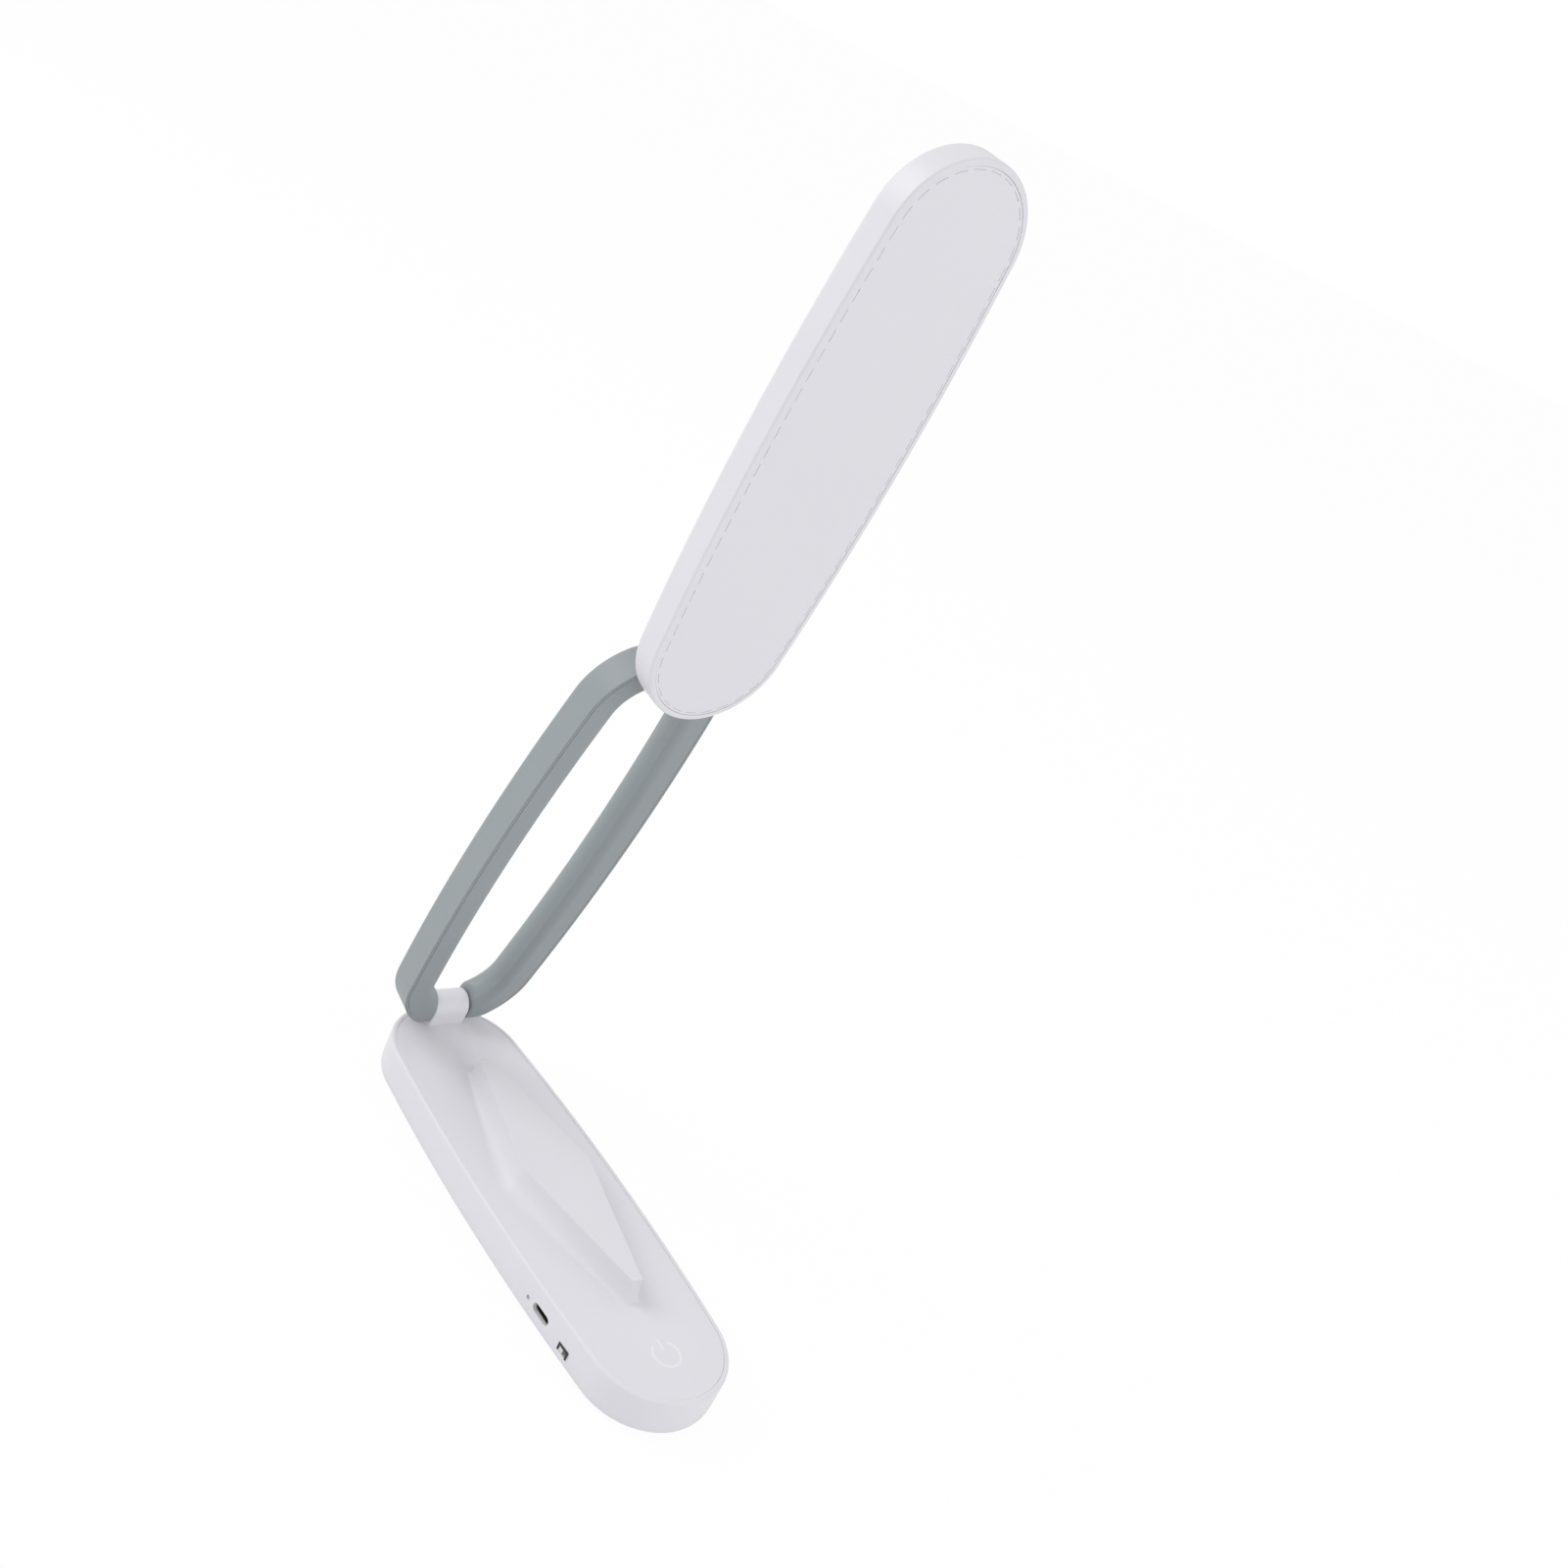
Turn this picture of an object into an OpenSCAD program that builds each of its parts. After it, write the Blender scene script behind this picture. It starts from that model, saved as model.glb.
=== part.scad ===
// Folding desk lamp with a flat LED head.
// Base, arm and head share one stadium outline and fold flat on each other.
// +X runs from the hinge end of the base to its front, +Z is up, the sockets are on the -Y wall.
// The origin is the middle of the base's footprint, on the surface that it stands on.

/* [Outline] */
// Length of the base and of the head
body_len = 206.5; // [190:0.5:230]
// Width of base, arm and head
body_w = 62; // [58:0.5:70]
// Radius of the rounded ends
end_r = 28; // [26:0.5:28.5]

/* [Thicknesses] */
// Height of the base's rim above the table
base_h = 16.6; // [15.5:0.1:20]
// Thickness of the arm
arm_t = 12.9; // [12.4:0.1:14]
// Width of each limb of the arm
limb_w = 13.5; // [12.5:0.1:14]
// Thickness of the head
head_t = 11.7; // [10.5:0.1:14]
// Air between base and arm, and between arm and head, when folded
fold_gap = 1.3; // [1.1:0.1:2]

/* [Pose] */
// Angle of the arm above the table, standing
arm_angle = 78.3; // [60:0.1:85]
// Angle of the head above the table, standing
head_angle = 84.2; // [75:0.1:95]

/* [Hinges] */
// Distance from the end of the base to the hinge axis
axis_in = 8.7; // [8:0.1:10]
// Half the width of each knuckle
knuckle_half = 8; // [7:0.5:9]
// Radius of the knuckles' barrels
knuckle_r = 6.2; // [5.8:0.1:6.3]
// Radius of the hinge pins
pin_r = 2; // [1.8:0.1:2.2]

/* [Base] */
// Height of the raised island above the rim
island_rise = 9.1; // [6:0.1:10]
// Half the island's width at its widest place
island_half_w = 15; // [12:0.5:15.5]
// Half the island's length
island_half_len = 58.5; // [45:0.5:60]

/* [Hidden] */

white = "#dddce2";
warm_white = "#e6e5ea";
arm_grey = "#a3a8ac";
cover_grey = "#94999c";
steel = "#b9bcc0";
dark = "#2c2c30";
board_green = "#2f6b46";
rubber = "#8c8d90";
copper = "#c58b5a";
clear = "#cfe6f2";
yellow = "#e8d27a";

// ---- shared numbers ----
half_len = body_len / 2;
half_w = body_w / 2;
hinge_x = half_len - axis_in;
hinge_z = base_h + fold_gap + arm_t / 2;
arm_half_t = arm_t / 2;
arm_half_len = hinge_x + arm_half_t;
arm_reach = 2 * hinge_x;
head_off = arm_half_t + fold_gap;
run = 0.05;                 // running clearance of the pins
bush_r = pin_r + 1.4;
pin_gap = 2.6;              // half the gap between the two pins of a hinge, where the lead turns
fine = 0.15;                // gap between fitted shells

// ---- stadium outline: two end arcs joined by two long, slightly bowed arcs ----
end_steps = 16;
side_steps = 10;

// Radius of the long arcs of an outline with half length a and end radius r
function side_radius(a, r) = (pow(a - r, 2) + half_w * half_w - r * r) / (2 * (half_w - r));
// Angle at which the end arc passes into the long arc
function join_angle(a, r) = atan2(side_radius(a, r) - half_w, a - r);

// Stations round the outline, each [centre x, centre y, radius, angle]
function end_stations(a, r, from, to, sign) =
    [for (i = [0:end_steps]) [sign * (a - r), 0, r, from + (to - from) * i / end_steps]];
function side_stations(a, r, from, to, sign) = let (rs = side_radius(a, r))
    [for (i = [1:side_steps - 1])
        [0, -sign * (rs - half_w), rs, from + (to - from) * i / side_steps]];
function stations(a, r) = let (j = join_angle(a, r)) concat(
    end_stations(a, r, -j, j, 1), side_stations(a, r, j, 180 - j, 1),
    end_stations(a, r, 180 - j, 180 + j, -1), side_stations(a, r, 180 + j, 360 - j, -1));
// Point of a station, moved inwards by d
function inset_point(s, d) = [s[0] + (s[2] - d) * cos(s[3]), s[1] + (s[2] - d) * sin(s[3])];
function outline(a, r, d) = [for (s = stations(a, r)) inset_point(s, d)];

// ---- solids that follow the outline ----
// Faces between sections of m points; closed = true joins the last section to the first
function skin_faces(n, m, closed) = [for (i = [0:n - (closed ? 1 : 2)], k = [0:m - 1])
    let (j = (i + 1) % n, l = (k + 1) % m) [i * m + k, j * m + k, j * m + l, i * m + l]];

// Plate whose edge profile is a list of [inset, z], from the bottom up
module plate(a, levels, r = end_r) {
    ring = stations(a, r);
    n = len(ring);
    m = len(levels);
    points = [for (v = levels, s = ring) concat(inset_point(s, v[0]), v[1])];
    sides = [for (k = [0:m - 2], i = [0:n - 1]) let (j = (i + 1) % n)
        [k * n + i, (k + 1) * n + i, (k + 1) * n + j, k * n + j]];
    bottom = [for (i = [0:n - 1]) i];
    top = [for (i = [n - 1:-1:0]) (m - 1) * n + i];
    polyhedron(points, concat(sides, [bottom, top]), convexity = 4);
}
// Straight-sided plate
module slab(a, inset, z0, z1, r = end_r)
    translate([0, 0, z0]) linear_extrude(z1 - z0) polygon(outline(a, r, inset));
// Bar that follows the -Y half of the outline; its section is a list of [inset, z].
// It starts and ends in the plane y = -y0, and its ends are rounded to end_t about the hinge axes.
// end_section takes the section's place over the first and last solid_steps stations.
solid_steps = 3;
function half_path() = concat([for (i = [0:end_steps]) [-1, i]], [for (i = [1:side_steps - 1]) [0, i]],
    [for (i = [end_steps:-1:0]) [1, i]]);
function end_point(a, sign, i, d, z, y0, end_t) = let (
    first = asin(y0 / (end_r - d)),
    t = first + (join_angle(a, end_r) - first) * i / end_steps,
    out = (end_r - d) * cos(t) - (end_r - arm_half_t),
    far = norm([out, z]),
    shrink = out > 0 && far > end_t ? end_t / far : 1)
    [sign * (a - arm_half_t + out * shrink), -(end_r - d) * sin(t), z * shrink];
function side_point(a, i, d, z) = let (j = join_angle(a, end_r), rs = side_radius(a, end_r),
    t = 180 + j + (180 - 2 * j) * i / side_steps)
    [(rs - d) * cos(t), rs - half_w + (rs - d) * sin(t), z];
function path_point(a, s, d, z, y0, end_t) =
    s[0] == 0 ? side_point(a, s[1], d, z) : end_point(a, s[0], s[1], d, z, y0, end_t);
module rail(a, section, y0, end_section = [], end_t = arm_half_t) {
    path = half_path();
    n = len(path);
    m = len(section);
    points = [for (k = [0:n - 1], i = [0:m - 1])
        let (p = len(end_section) > 0 && min(k, n - 1 - k) < solid_steps ? end_section[i] : section[i])
        path_point(a, path[k], p[0], p[1], y0, end_t)];
    caps = [[for (k = [0:m - 1]) k], [for (k = [m - 1:-1:0]) (n - 1) * m + k]];
    polyhedron(points, concat(skin_faces(n, m, false), caps), convexity = 8);
}
// Frame that follows the whole outline
module frame(a, section, r = end_r) {
    path = stations(a, r);
    points = [for (s = path, p = section) concat(inset_point(s, p[0]), p[1])];
    polyhedron(points, skin_faces(len(path), len(section), true), convexity = 8);
}

// Round lead of radius r along a list of points; its sections never turn edge-on to lead_up
lead_sides = 8;
lead_up = [0.37, 0.58, 0.73];
function unit(v) = v / norm(v);
function heading(p, i) = unit(p[min(i + 1, len(p) - 1)] - p[max(i - 1, 0)]);
module lead(p, r) {
    n = len(p);
    points = [for (i = [0:n - 1]) let (t = heading(p, i), u = unit(cross(t, lead_up)), v = cross(t, u))
        for (k = [0:lead_sides - 1]) let (w = 360 * k / lead_sides) p[i] + r * (u * cos(w) + v * sin(w))];
    caps = [[for (k = [0:lead_sides - 1]) k],
        [for (k = [lead_sides - 1:-1:0]) (n - 1) * lead_sides + k]];
    polyhedron(points, concat(skin_faces(n, lead_sides, false), caps), convexity = 6);
}

// ---- small helpers ----
// Box between two x, two y and two z values
module block(x, y, z) translate([x[0], y[0], z[0]]) cube([x[1] - x[0], y[1] - y[0], z[1] - z[0]]);
// Cylinder along Y between two y values
module bar(r, y0, y1) translate([0, y1, 0]) rotate([90, 0, 0]) cylinder(r = r, h = y1 - y0, $fn = 48);
// Tube along Y between two y values
module sleeve(ro, ri, y0, y1) difference() {
    bar(ro, y0, y1);
    bar(ri, y0 - 1, y1 + 1);
}
// Upright cylinder between two z values
module post(r, z0, z1) translate([0, 0, z0]) cylinder(r = r, h = z1 - z0, $fn = 32);
// One copy at each of the given places
module at(places) for (p = places) translate(p) children();

// ---- the three frames ----
module in_base_hinge() translate([-hinge_x, 0, hinge_z]) children();
// Arm: x runs up the arm from the lower hinge, z points to its back
module in_arm() in_base_hinge() rotate([0, -arm_angle, 0]) children();
// Head: x runs up the head from the upper hinge, z points to its back
module in_head() in_base_hinge() rotate([0, -arm_angle, 0]) translate([arm_reach, 0, 0])
    rotate([0, arm_angle - head_angle, 0]) children();
// Head laid on its back: origin in the middle of its back face, z towards the diffuser
module in_head_flat() in_head() translate([hinge_x, 0, -head_off]) rotate([180, 0, 0]) children();

// ---- base ----
floor_z = 1;                // underside of the tray, the feet stand out below it
floor_t = 2;
tray_wall = 3;
rim_w = 2;                  // width of the rim up to the groove round the cover
cover_z = base_h - 2.3;     // underside of the top cover
cover_top = base_h - 0.1;
floor_top = floor_z + floor_t;
cover_screw_x = 74;
cover_screw_y = 16;
cover_screws_at = [for (x = [-1, 1], y = [-1, 1]) [x * cover_screw_x, y * cover_screw_y, 0]];
foot_x = 86;
foot_y = 13;
feet_at = [for (x = [-1, 1], y = [-1, 1]) [x * foot_x, y * foot_y, 0]];
foot_r = 5;
foot_recess = 0.6;          // depth to which the feet sit in the tray
usb_x = 48.7;
usb_z = 8.2;
light_x = 40.5;
light_z = 8;
switch_x = 63.9;
switch_z = 6.7;
switch_travel = 2;
switch_window = [5.8, 3.3];  // length and height of the opening for the switch
wall_cut = [-half_w - 1, -half_w + 6];  // y range of the cuts through the side wall
knob_x = switch_x - switch_travel / 2;

module usb_shape(w, h, y0, y1) {
    block([usb_x - (w - h) / 2, usb_x + (w - h) / 2], [y0, y1], [usb_z - h / 2, usb_z + h / 2]);
    for (side = [-1, 1]) translate([usb_x + side * (w - h) / 2, 0, usb_z]) bar(h / 2, y0, y1);
}

module base_tray() color(white) difference() {
    plate(half_len, [[3.2, floor_z], [1.6, floor_z + 0.2], [0.5, floor_z + 1], [0.1, floor_z + 2.4],
        [0, 6], [0, base_h - 1], [0.3, base_h - 0.35], [1.1, base_h]]);
    slab(half_len, tray_wall, floor_top, base_h);
    slab(half_len, rim_w, cover_z, base_h + 1);
    usb_shape(9.4, 3.6, wall_cut[0], wall_cut[1]);
    translate([light_x, 0, light_z]) bar(0.85, wall_cut[0], wall_cut[1]);
    block([switch_x - switch_window[0] / 2, switch_x + switch_window[0] / 2], wall_cut,
        [switch_z - switch_window[1] / 2, switch_z + switch_window[1] / 2]);
    at(cover_screws_at) {
        post(1.7, 0, floor_top + 1);
        post(3, 0, floor_z + 1.3);
    }
    at(feet_at) post(foot_r + fine, 0, floor_z + foot_recess);
}

// Six corners of the lozenge island: the middle moved out by d, the tips along by tip and out by flare
island_x = -1.5;
island_tip_w = 2.2;
function lozenge(d, tip, flare) = let (side = island_half_w + d, y = island_tip_w + flare,
    rear = island_x - island_half_len - tip, front = island_x + island_half_len + tip)
    [[island_x, side], [rear, y], [rear, -y], [island_x, -side], [front, -y], [front, y]];
island_cove = 8.7;
tip_cove = 2.8;
tip_flare = 1.2;
island_levels = 6;
// The island's flanks are quarter-round coves
module island() {
    points = [for (i = [0:island_levels]) let (t = 90 * i / island_levels, k = 1 - cos(t))
        for (c = lozenge(island_cove * k, tip_cove * k, tip_flare * k))
            concat(c, base_h + island_rise - (island_rise + 0.6) * sin(t))];
    n = 6;
    sides = [for (k = [0:island_levels - 1], i = [0:n - 1]) let (j = (i + 1) % n)
        [k * n + i, k * n + j, (k + 1) * n + j, (k + 1) * n + i]];
    top = [for (i = [n - 1:-1:0]) i];
    bottom = [for (i = [0:n - 1]) island_levels * n + i];
    polyhedron(points, concat(sides, [top, bottom]), convexity = 4);
}
// Low saddle that rises to the knuckle
hump_top = base_h + 3;
stem_x = [-96.8, -89.6];    // foot of the knuckle's stem along the base
stem_gap = 1.6;             // gap in front of and behind the stem
flange_front_x = -78.5;
module hump() hull() {
    block([-96, -72], [-8.9, 8.9], [base_h - 1, base_h - 0.15]);
    block([-94, -86.5], [-7, 7], [hump_top - 0.1, hump_top]);
}
knuckle_screws_at = [for (side = [-1, 1]) [-82.5, side * 5.5, 0]];
module base_top() color(white) difference() {
    union() {
        plate(half_len, [[rim_w + fine, cover_z], [rim_w + fine, cover_top - 0.4], [rim_w + 0.5, cover_top]]);
        island();
        hump();
        at(cover_screws_at) post(3.2, floor_top, cover_z + 1);
    }
    translate([0, 0, cover_z - 1]) linear_extrude(base_h + island_rise - 1.8 - cover_z + 1)
        polygon(lozenge(-1.4, -1.4, -1.1));
    block([stem_x[0] - stem_gap, stem_x[1] + stem_gap], [-knuckle_half - fine, knuckle_half + fine],
        [cover_z - 1, hump_top + 1]);
    at(cover_screws_at) post(1.3, 0, 12.5);
    at(knuckle_screws_at) post(1, cover_z - 1, cover_z + 2.6);
}
knuckle_foot = 12.2;        // underside of the knuckle's flange
module base_knuckle() color(warm_white) difference() {
    union() {
        hull() {
            in_base_hinge() bar(knuckle_r, -knuckle_half, knuckle_half);
            block(stem_x, [-knuckle_half, knuckle_half], [cover_z - 0.4, cover_z - 0.1]);
        }
        block([stem_x[0], flange_front_x], [-knuckle_half, knuckle_half], [knuckle_foot, cover_z - 0.05]);
    }
    in_base_hinge() bar(bush_r, -knuckle_half - 1, knuckle_half + 1);
    translate([-hinge_x, 0, 0]) post(1.6, knuckle_foot - 1, hinge_z);
    at(knuckle_screws_at) post(1.1, knuckle_foot - 1, cover_z);
}
module knuckle_screws() color(steel) at(knuckle_screws_at) {
    post(1, knuckle_foot, cover_z + 2.5);
    post(1.9, knuckle_foot - 1.2, knuckle_foot);
}
module base_screws() color(steel) at(cover_screws_at) {
    post(1.3, floor_z + 1.2, 12);
    post(2.8, floor_z + 0.2, floor_z + 1.3);
}
module rubber_feet() color(rubber) at(feet_at) post(foot_r, 0, floor_z + foot_recess);
battery_x = [-38, 24];
module weight_plate() color(steel) block([-62, 30], [-24, 24], [floor_top, floor_top + 1.6]);
module battery() color("#4f7fae") block(battery_x, [-17, 17], [floor_top + 1.7, floor_top + 9.9]);
board_top = 4.6;
board_x = [34, 68.4];
board_y = [-24.8, -3];
module main_board() color(board_green) {
    block(board_x, board_y, [board_top - 1, board_top]);
    for (x = board_x, y = [-20, -6]) translate([x + (x < 50 ? 2.5 : -2.5), y, 0])
        post(1.5, floor_top, board_top - 1);
}
module usb_socket() color(steel) {
    difference() {
        usb_shape(9, 3.2, -28.6, -21.4);
        usb_shape(8.3, 2.5, -29, -22.4);
    }
    block([usb_x - 3.4, usb_x + 3.4], [-27.8, -23], [usb_z - 0.35, usb_z + 0.35]);
    block([usb_x - 3.4, usb_x + 3.4], [-22.4, -21.4], [usb_z - 0.35, usb_z + 0.35]);
    for (side = [-1, 1]) block([usb_x + side * 3.6 - 0.5, usb_x + side * 3.6 + 0.5], [-24.6, -21.6],
        [board_top, usb_z - 1.5]);
}
module switch_body() color(dark) difference() {
    block([switch_x - 4.3, switch_x + 4.3], [board_y[0], -20.5], [board_top, board_top + 3.9]);
    block([knob_x - 1.2, knob_x + switch_travel + 1.2], [-25, -23.2], [switch_z - 1.35, switch_z + 0.6]);
}
module switch_knob() color(warm_white)
    block([knob_x - 1.05, knob_x + 1.05], [-28.9, -23.4], [switch_z - 1.2, switch_z + 0.45]);
module charge_light() color(clear) {
    translate([light_x, 0, light_z]) bar(0.75, -30, -25.2);
    block([light_x - 1.2, light_x + 1.2], [-25.2, -23.4], [board_top, light_z + 0.9]);
}
touch_x = 84;
module touch_pad() color(copper) translate([touch_x, 0, 0]) post(9, cover_z - 0.3, cover_z);
lead_r = 0.9;
module base_lead() color("#3a3a3e") lead([[36, -12, 5.7], [31, -16, 6], [26, -20.5, 6.5], [12, -21, 6.5],
    [-10, -21, 6.5], [-34, -21, 6.5], [-48, -18, 6.5], [-62, -12, 6.8], [-76, -5, 7.4], [-86, -1.4, 8.2],
    [-91.6, 0, 9.6], [-94.1, 0, 12], [-hinge_x, 0, 15], [-hinge_x, 0, 19], [-hinge_x, 0, 22.4],
    [-hinge_x, -0.4, 23.6], [-hinge_x, -1.2, 24.2], [-hinge_x, -2.45, hinge_z]], lead_r);
module bush_pair() for (side = [0, 1]) mirror([0, side, 0])
    sleeve(bush_r, pin_r + run, pin_gap, knuckle_half);
module lower_bushes() color("#4a4a4e") in_base_hinge() bush_pair();

// ---- arm ----
limb_end = knuckle_half + 0.5;   // inner end face of each limb
pin_end = 11.5;
bore_end = 12.6;
split_z = -4.4;                  // plane between back shell and front cover
shell_t = 1.5;
round_at = 8;                    // inset at which the inner side starts to round
// Half-ellipse points of the limb's inner side, shrunk by w, from angle a0 to a1
function inner_round(w, a0, a1, n) = [for (i = [0:n]) let (t = a0 + (a1 - a0) * i / n)
    [round_at + (limb_w - round_at - w) * cos(t), (arm_half_t - w) * sin(t)]];
function split_at(z) = asin(z / arm_half_t);
back_z = split_z + 0.1;
front_z = split_z - 0.25;
groove_z = back_z + 0.3;
channel_in = 10.5;               // inset of the channel's inner wall at the split
outer_skin = concat(inner_round(0, split_at(back_z), 90, 8),
    [[1.4, arm_half_t], [0.4, 5.9], [0, 4.9], [0, back_z]]);
channel = concat([[shell_t, arm_half_t - shell_t]], inner_round(shell_t, 90, -50, 6));
// The sections run anticlockwise in the inset-z plane; at its ends the channel is a shallow groove
limb_section = concat(outer_skin, [[shell_t, back_z]], channel, [[channel_in, back_z]]);
limb_end_section = concat(outer_skin, [[shell_t, back_z]],
    [for (i = [0:len(channel) - 1]) [shell_t + (channel_in - shell_t) * i / (len(channel) - 1), groove_z]],
    [[channel_in, back_z]]);
cover_section = concat(inner_round(0, -90, split_at(front_z), 4),
    [[0, front_z], [0, -5], [0.4, -5.9], [1.4, -arm_half_t]]);
limb_posts = [28, hinge_x, arm_reach - 28];
post_inset = 3.6;
// Y of the outline's -Y side at x along the arm, moved inwards by d
function limb_y(x, d) = let (rs = side_radius(arm_half_len, end_r))
    rs - half_w - sqrt(pow(rs - d, 2) - pow(x - hinge_x, 2));
module at_posts() for (x = limb_posts) translate([x, limb_y(x, post_inset), 0]) children();
module limb_back() difference() {
    translate([hinge_x, 0, 0]) rail(arm_half_len, limb_section, limb_end, limb_end_section);
    for (x = [0, arm_reach]) translate([x, 0, 0]) bar(pin_r, -bore_end, 0);
    at_posts() {
        post(0.95, 0, 10);
        post(1.8, arm_half_t - 0.9, 10);
    }
}
module limb_front() difference() {
    union() {
        translate([hinge_x, 0, 0]) rail(arm_half_len, cover_section, limb_end);
        at_posts() post(1.6, split_z - 1, arm_half_t - shell_t - 0.1);
    }
    at_posts() post(0.8, split_z, 10);
}
module limb_screw() {
    post(0.8, split_z + 0.2, arm_half_t - 0.8);
    post(1.6, arm_half_t - 0.85, arm_half_t - 0.15);
}
module left_limb() color(arm_grey) in_arm() limb_back();
module left_limb_cover() color(cover_grey) in_arm() limb_front();
module right_limb() color(arm_grey) in_arm() mirror([0, 1, 0]) limb_back();
module right_limb_cover() color(cover_grey) in_arm() mirror([0, 1, 0]) limb_front();
module limb_screws() color(steel) in_arm() for (side = [0, 1]) mirror([0, side, 0])
    at_posts() limb_screw();
cable_bore_r = 1.2;
module pin_pair() {
    sleeve(pin_r, cable_bore_r, -pin_end, -pin_gap);
    bar(pin_r, pin_gap, pin_end);
}
module lower_pins() color(steel) in_arm() pin_pair();
module upper_pins() color(steel) in_arm() translate([arm_reach, 0, 0]) pin_pair();
washer_r = 4.4;
module washer_pair() for (side = [0, 1]) mirror([0, side, 0])
    sleeve(washer_r, pin_r + run, knuckle_half + 0.1, limb_end - 0.1);
module lower_washers() color(steel) in_arm() washer_pair();
module upper_washers() color(steel) in_arm() translate([arm_reach, 0, 0]) washer_pair();
lead_inset = 7.6;
arm_lead_turn = [[0, -pin_gap, 0], [0, -7, 0], [0, -11.2, 0], [0.4, -12.8, 0], [2, -14.1, 0], [4.8, -15, 0]];
module arm_lead() color("#3a3a3e") in_arm() lead(concat(arm_lead_turn,
    [for (s = half_path()) path_point(arm_half_len, s, lead_inset, 0, 16, 20) + [hinge_x, 0, 0]],
    [for (i = [len(arm_lead_turn) - 1:-1:0]) [arm_reach - arm_lead_turn[i][0], arm_lead_turn[i][1], 0]]),
    lead_r);

// ---- head ----
module upper_bushes() color("#4a4a4e") in_head() bush_pair();
head_wall = 2.2;
head_back_t = 1.8;
seam = 0.2;
diffuser_t = 1.8;
diffuser_z = head_t - 0.1 - diffuser_t;
near_end = -hinge_x;             // hinge axis along the head, from its middle
head_stem = 4.2;                 // half the length of the knuckle's stem at the back of the head
led_board_z = 3.2;
led_board_t = 1;
module head_shell() difference() {
    plate(half_len, [[2.6, 0], [1.3, 0.25], [0.4, 1], [0, 2.4], [0, head_t - 0.9], [0.25, head_t - 0.3],
        [0.9, head_t]]);
    slab(half_len, head_wall, head_back_t, head_t + 1);
}
module head_housing() color(white) in_head_flat() difference() {
    union() {
        head_shell();
        at(led_screws_at) post(2, head_back_t - 0.4, led_board_z);
    }
    block([near_end - head_stem - 0.45, near_end + head_stem + 0.45],
        [-knuckle_half - fine, knuckle_half + fine], [-1, head_back_t + 1]);
    at(head_screws_at) post(0.9, 0.6, head_back_t + 1);
    at(led_screws_at) post(0.7, 0.6, led_board_z + 1);
}
flange_z = head_back_t + 0.05;
flange_t = 1.8;
head_screws_at = [for (side = [-1, 1]) [near_end + 10.5, side * 5, 0]];
led_screws_at = [for (x = [-60, 0, 60]) [x, 0, 0]];
module head_knuckle() color(warm_white) in_head_flat() difference() {
    union() {
        hull() {
            translate([near_end, 0, -head_off]) bar(knuckle_r, -knuckle_half, knuckle_half);
            block([near_end - head_stem, near_end + head_stem], [-knuckle_half, knuckle_half],
                [1, flange_z + 0.2]);
        }
        block([near_end - head_stem, near_end + 14], [-knuckle_half, knuckle_half],
            [flange_z, flange_z + flange_t]);
    }
    translate([near_end, 0, -head_off]) bar(bush_r, -knuckle_half - 1, knuckle_half + 1);
    translate([near_end, 0, 0]) post(1.6, -head_off, 6);
    at(head_screws_at) post(1.1, 0, 6);
}
module head_knuckle_screws() color(steel) in_head_flat() at(head_screws_at) {
    post(0.9, 0.8, flange_z + flange_t);
    post(1.8, flange_z + flange_t, flange_z + flange_t + 1);
}
module led_board() color("#eceef0") in_head_flat() difference() {
    intersection() {
        slab(half_len, 6, led_board_z, led_board_z + led_board_t);
        block([near_end + 16, 200], [-50, 50], [0, 10]);
    }
    at(led_screws_at) post(0.8, 0, 10);
}
module led_screws() color(steel) in_head_flat() at(led_screws_at) {
    post(0.7, 0.8, led_board_z + led_board_t);
    post(1.4, led_board_z + led_board_t, led_board_z + led_board_t + 0.7);
}
led_pitch = 11.6;
module led_chips() color(yellow) in_head_flat()
    for (i = [0:13], side = [-1, 1]) translate([led_pitch * (i - 6) + 6, side * 11, 0])
        block([-1.4, 1.4], [-1.75, 1.75], [led_board_z + led_board_t, led_board_z + led_board_t + 0.7]);
module reflector_frame() color("#f4f4f6") in_head_flat() frame(half_len,
    [[4.4, 6.2], [7.2, 4.4], [8.2, 4.4], [3.4, diffuser_z - 0.05], [head_wall + fine, diffuser_z - 0.05],
    [head_wall + fine, 4.4]]);
module diffuser() color("#f2f2f6") in_head_flat() plate(half_len, [[head_wall + seam, diffuser_z],
    [head_wall + seam, head_t - 0.35], [head_wall + seam + 0.3, head_t - 0.1]]);
module head_lead() color("#3a3a3e") in_head() lead([[0, -2.45, 0], [0, -1.2, -0.15], [0, -0.4, -0.75],
    [0, 0, -1.95], [0, 0, -5], [0, 0, -8.6], [0.2, 0, -11], [1.4, 0, -12.6], [3.6, 0, -13.1], [8, 0, -13.1],
    [14, 0, -13.1], [20, 0, -13]], lead_r);

base_tray();
base_top();
base_knuckle();
knuckle_screws();
base_screws();
rubber_feet();
weight_plate();
battery();
main_board();
usb_socket();
switch_body();
charge_light();
touch_pad();
base_lead();
lower_bushes();
switch_knob();
left_limb();
left_limb_cover();
right_limb();
right_limb_cover();
limb_screws();
lower_pins();
upper_pins();
lower_washers();
upper_washers();
arm_lead();
upper_bushes();
head_housing();
head_knuckle();
head_knuckle_screws();
head_lead();
led_board();
led_screws();
led_chips();
reflector_frame();
diffuser();
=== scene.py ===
# %% [markdown]
# # A folding LED desk lamp, dressed piece by piece
# The CAD model of the lamp is loaded as a fixed frame. Its shells are faceted, so each shell
# that is seen is modelled again here with bmesh operators, in the same place and size, and
# every other part keeps its CAD mesh and gets a finish. All lengths are in millimetres until
# a piece is placed, and the last step of placing turns them into metres.

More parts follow.
